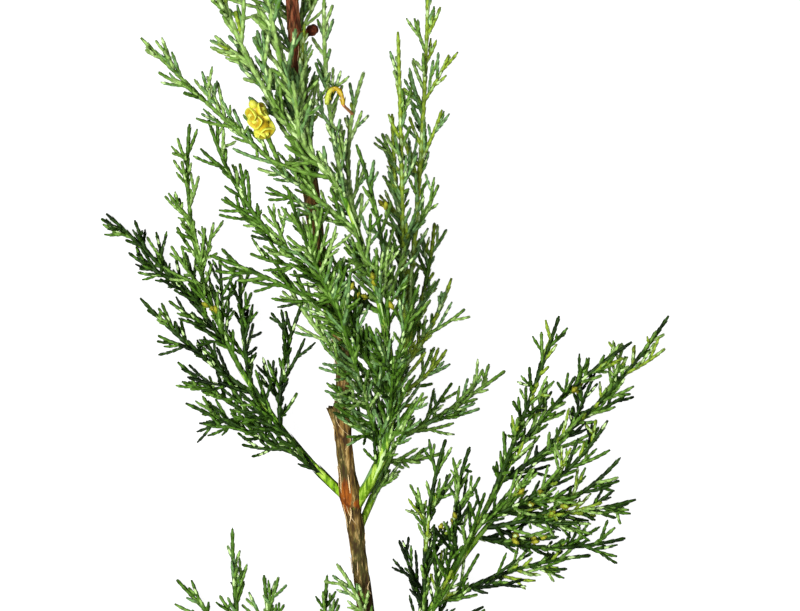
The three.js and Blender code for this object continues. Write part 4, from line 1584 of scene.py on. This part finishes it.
def make_small_cone(look, stalk_look):
    """The small cone: a thin brown stalk, then an arch of open scales, thicker and greener to its end."""
    centre = np.array(ARCH["centre"])

    def arch_point(t):
        angle = math.pi * np.asarray(t)[..., None]
        return centre + ARCH["half_width"] * np.cos(angle) * X_AXIS + ARCH["rise"] * np.sin(angle) * Y_AXIS

    def greener(spots):
        return smooth((centre[0] - spots[:, 0]) / ARCH["half_width"])

    def rough(along, turn):
        return 1 + SMALL_STALK["rough"] * soft_noise(along, turn, *SMALL_STALK["cells"], SMALL_STALK["seed"])

    arch = Path(arch_point)
    cord = Cord(arch, tapered(ARCH["radii"], arch.length, TIP_TAPER, TIP_POINT))
    spots, triangles = cord.tube(ARCH["step"], ARCH["sides"], CORE_OUT)
    leaves, _ = leaves_on(cord, ARCH["pitch"], ARCH["first"], ARCH["roll"], ARCH["gape"])
    scales = Bundle()
    scales.add(spots, triangles, greener(spots))
    add_leaves(scales, leaves, greener(leaves.reshape(-1, 3)))
    nodes = ["small_pollen_cone"]
    scales.piece("small_pollen_cone_scales", look, "pollen", nodes, "pale")
    stalk = Cord(straight(small_cone.foot, arch.at(0)), even(SMALL_STALK["radius"]))
    shape = stalk.tube(SMALL_STALK["step"], SMALL_STALK["sides"], rough)
    add_piece("small_pollen_cone_stalk", *shape, stalk_look, "pollen", nodes)


def make_bud(look):
    """The dried bud: a dark ball of scales on a short neck."""
    path = straight(bud.foot, bud.tip + bud.way * BUD["radius"])
    cord = Cord(path, swollen(BUD_NECK, BUD["radius"], path.length, BUD["radius"]))

    def out(along, turn):
        nearest, _, _ = cells_round(along, turn, *BUD_SCALES, BUD_SEED)
        return 1 - BUD_CREASE * smooth(nearest)

    spots, triangles = cord.tube(BUD_STEP, BUD_SIDES, out)
    from_root = np.linalg.norm(spots - bud.foot, axis=1)
    values = {"neck": 1 - smooth((from_root - BUD_NECK_END) / BUD["radius"])}
    add_piece("dried_bud_scales", spots, triangles, look, "dry_bud", ["dried_bud"], values)


# Stage: a pale floor, soft light from the left, and a camera that looks straight down

VIEW_CENTRE = (9.6, 37.3)
CAMERA_HEIGHT = 815
FOCUS_HEIGHT = 15
VIEW_WIDTH = 160
SENSOR_WIDTH = 36
WHITE = (1, 1, 1, 1)
FLOOR_SIZE = 6
FLOOR_DROP = 0.0002
FLOOR_GREY = (90, 90, 90)
FLOOR_ROUGHNESS = 0.9
FLOOR_GLOW = 0.95
SKY_STRENGTH = 0.03
LAMPS = [
    dict(name="key", place=(-0.34, -0.12, 0.81), power=22, size=0.45),
    dict(name="fill", place=(0.5, 0.2, 0.7), power=4, size=0.6),
]


def make_stage():
    bpy.ops.mesh.primitive_plane_add(size=FLOOR_SIZE, location=(0, 0, -FLOOR_DROP))
    floor = bpy.context.object
    floor.name = "floor"
    look = Look("pale_floor", FLOOR_GREY, FLOOR_ROUGHNESS, shine=0)
    look.shader.inputs["Emission Color"].default_value = WHITE
    seen = look.node("ShaderNodeLightPath").outputs["Is Camera Ray"]
    look.feed(look.shader.inputs["Emission Strength"], look.times(seen, FLOOR_GLOW))
    floor.data.materials.append(look.material)
    floor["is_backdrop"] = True

    world = bpy.data.worlds.new("studio")
    world.use_nodes = True
    background = world.node_tree.nodes["Background"]
    background.inputs["Color"].default_value = WHITE
    background.inputs["Strength"].default_value = SKY_STRENGTH
    bpy.context.scene.world = world


def add_lamp(name, place, power, size):
    lamp = bpy.data.lights.new(name, "AREA")
    lamp.energy = power
    lamp.size = size
    holder = bpy.data.objects.new(name, lamp)
    holder.location = place
    holder.rotation_euler = (-Vector(place)).to_track_quat("-Z", "Y").to_euler()
    bpy.context.scene.collection.objects.link(holder)


def make_camera():
    camera = bpy.data.cameras.new("camera")
    camera.sensor_width = SENSOR_WIDTH
    camera.lens = SENSOR_WIDTH * (CAMERA_HEIGHT - FOCUS_HEIGHT) / VIEW_WIDTH
    holder = bpy.data.objects.new("camera", camera)
    holder.location = (np.array((*VIEW_CENTRE, CAMERA_HEIGHT)) + SHIFT) * MM
    bpy.context.scene.collection.objects.link(holder)
    bpy.context.scene.camera = holder


THREAD_COLOR = (168, 146, 108)
THREAD_ROUGHNESS = 0.8
SMALL_STALK_COLOR = (156, 108, 64)
SMALL_STALK_ROUGHNESS = 0.7


def make_all():
    bark = bark_look()
    stem_cord = make_stem(limbs["stem"], bark)
    make_stub(limbs["stem"], bark)
    make_cut(limbs["stem"], wood_look())
    make_threads(stem_cord, plain_look("bark_thread", THREAD_COLOR, THREAD_ROUGHNESS))
    green_bark = green_bark_look()
    bough_cords = {}
    for n, limb in enumerate(boughs):
        bough_cords[limb.name] = make_bough(limb, green_bark, BOUGH_SEED + n * BOUGH_SEED_STEP)
    make_foliage(bough_cords)
    pollen = scale_look()
    make_cone(pollen)
    make_small_cone(pollen, plain_look("cone_stalk", SMALL_STALK_COLOR, SMALL_STALK_ROUGHNESS))
    make_bud(dry_look())
    make_stage()
    for lamp in LAMPS:
        add_lamp(**lamp)
    make_camera()


make_all()
bpy.context.scene.view_settings.view_transform = "Standard"
bpy.context.view_layer.update()
boxes = {"cad": CAD_BOX, "visual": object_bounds()}
{name: [list(corner) for corner in box] for name, box in boxes.items()}
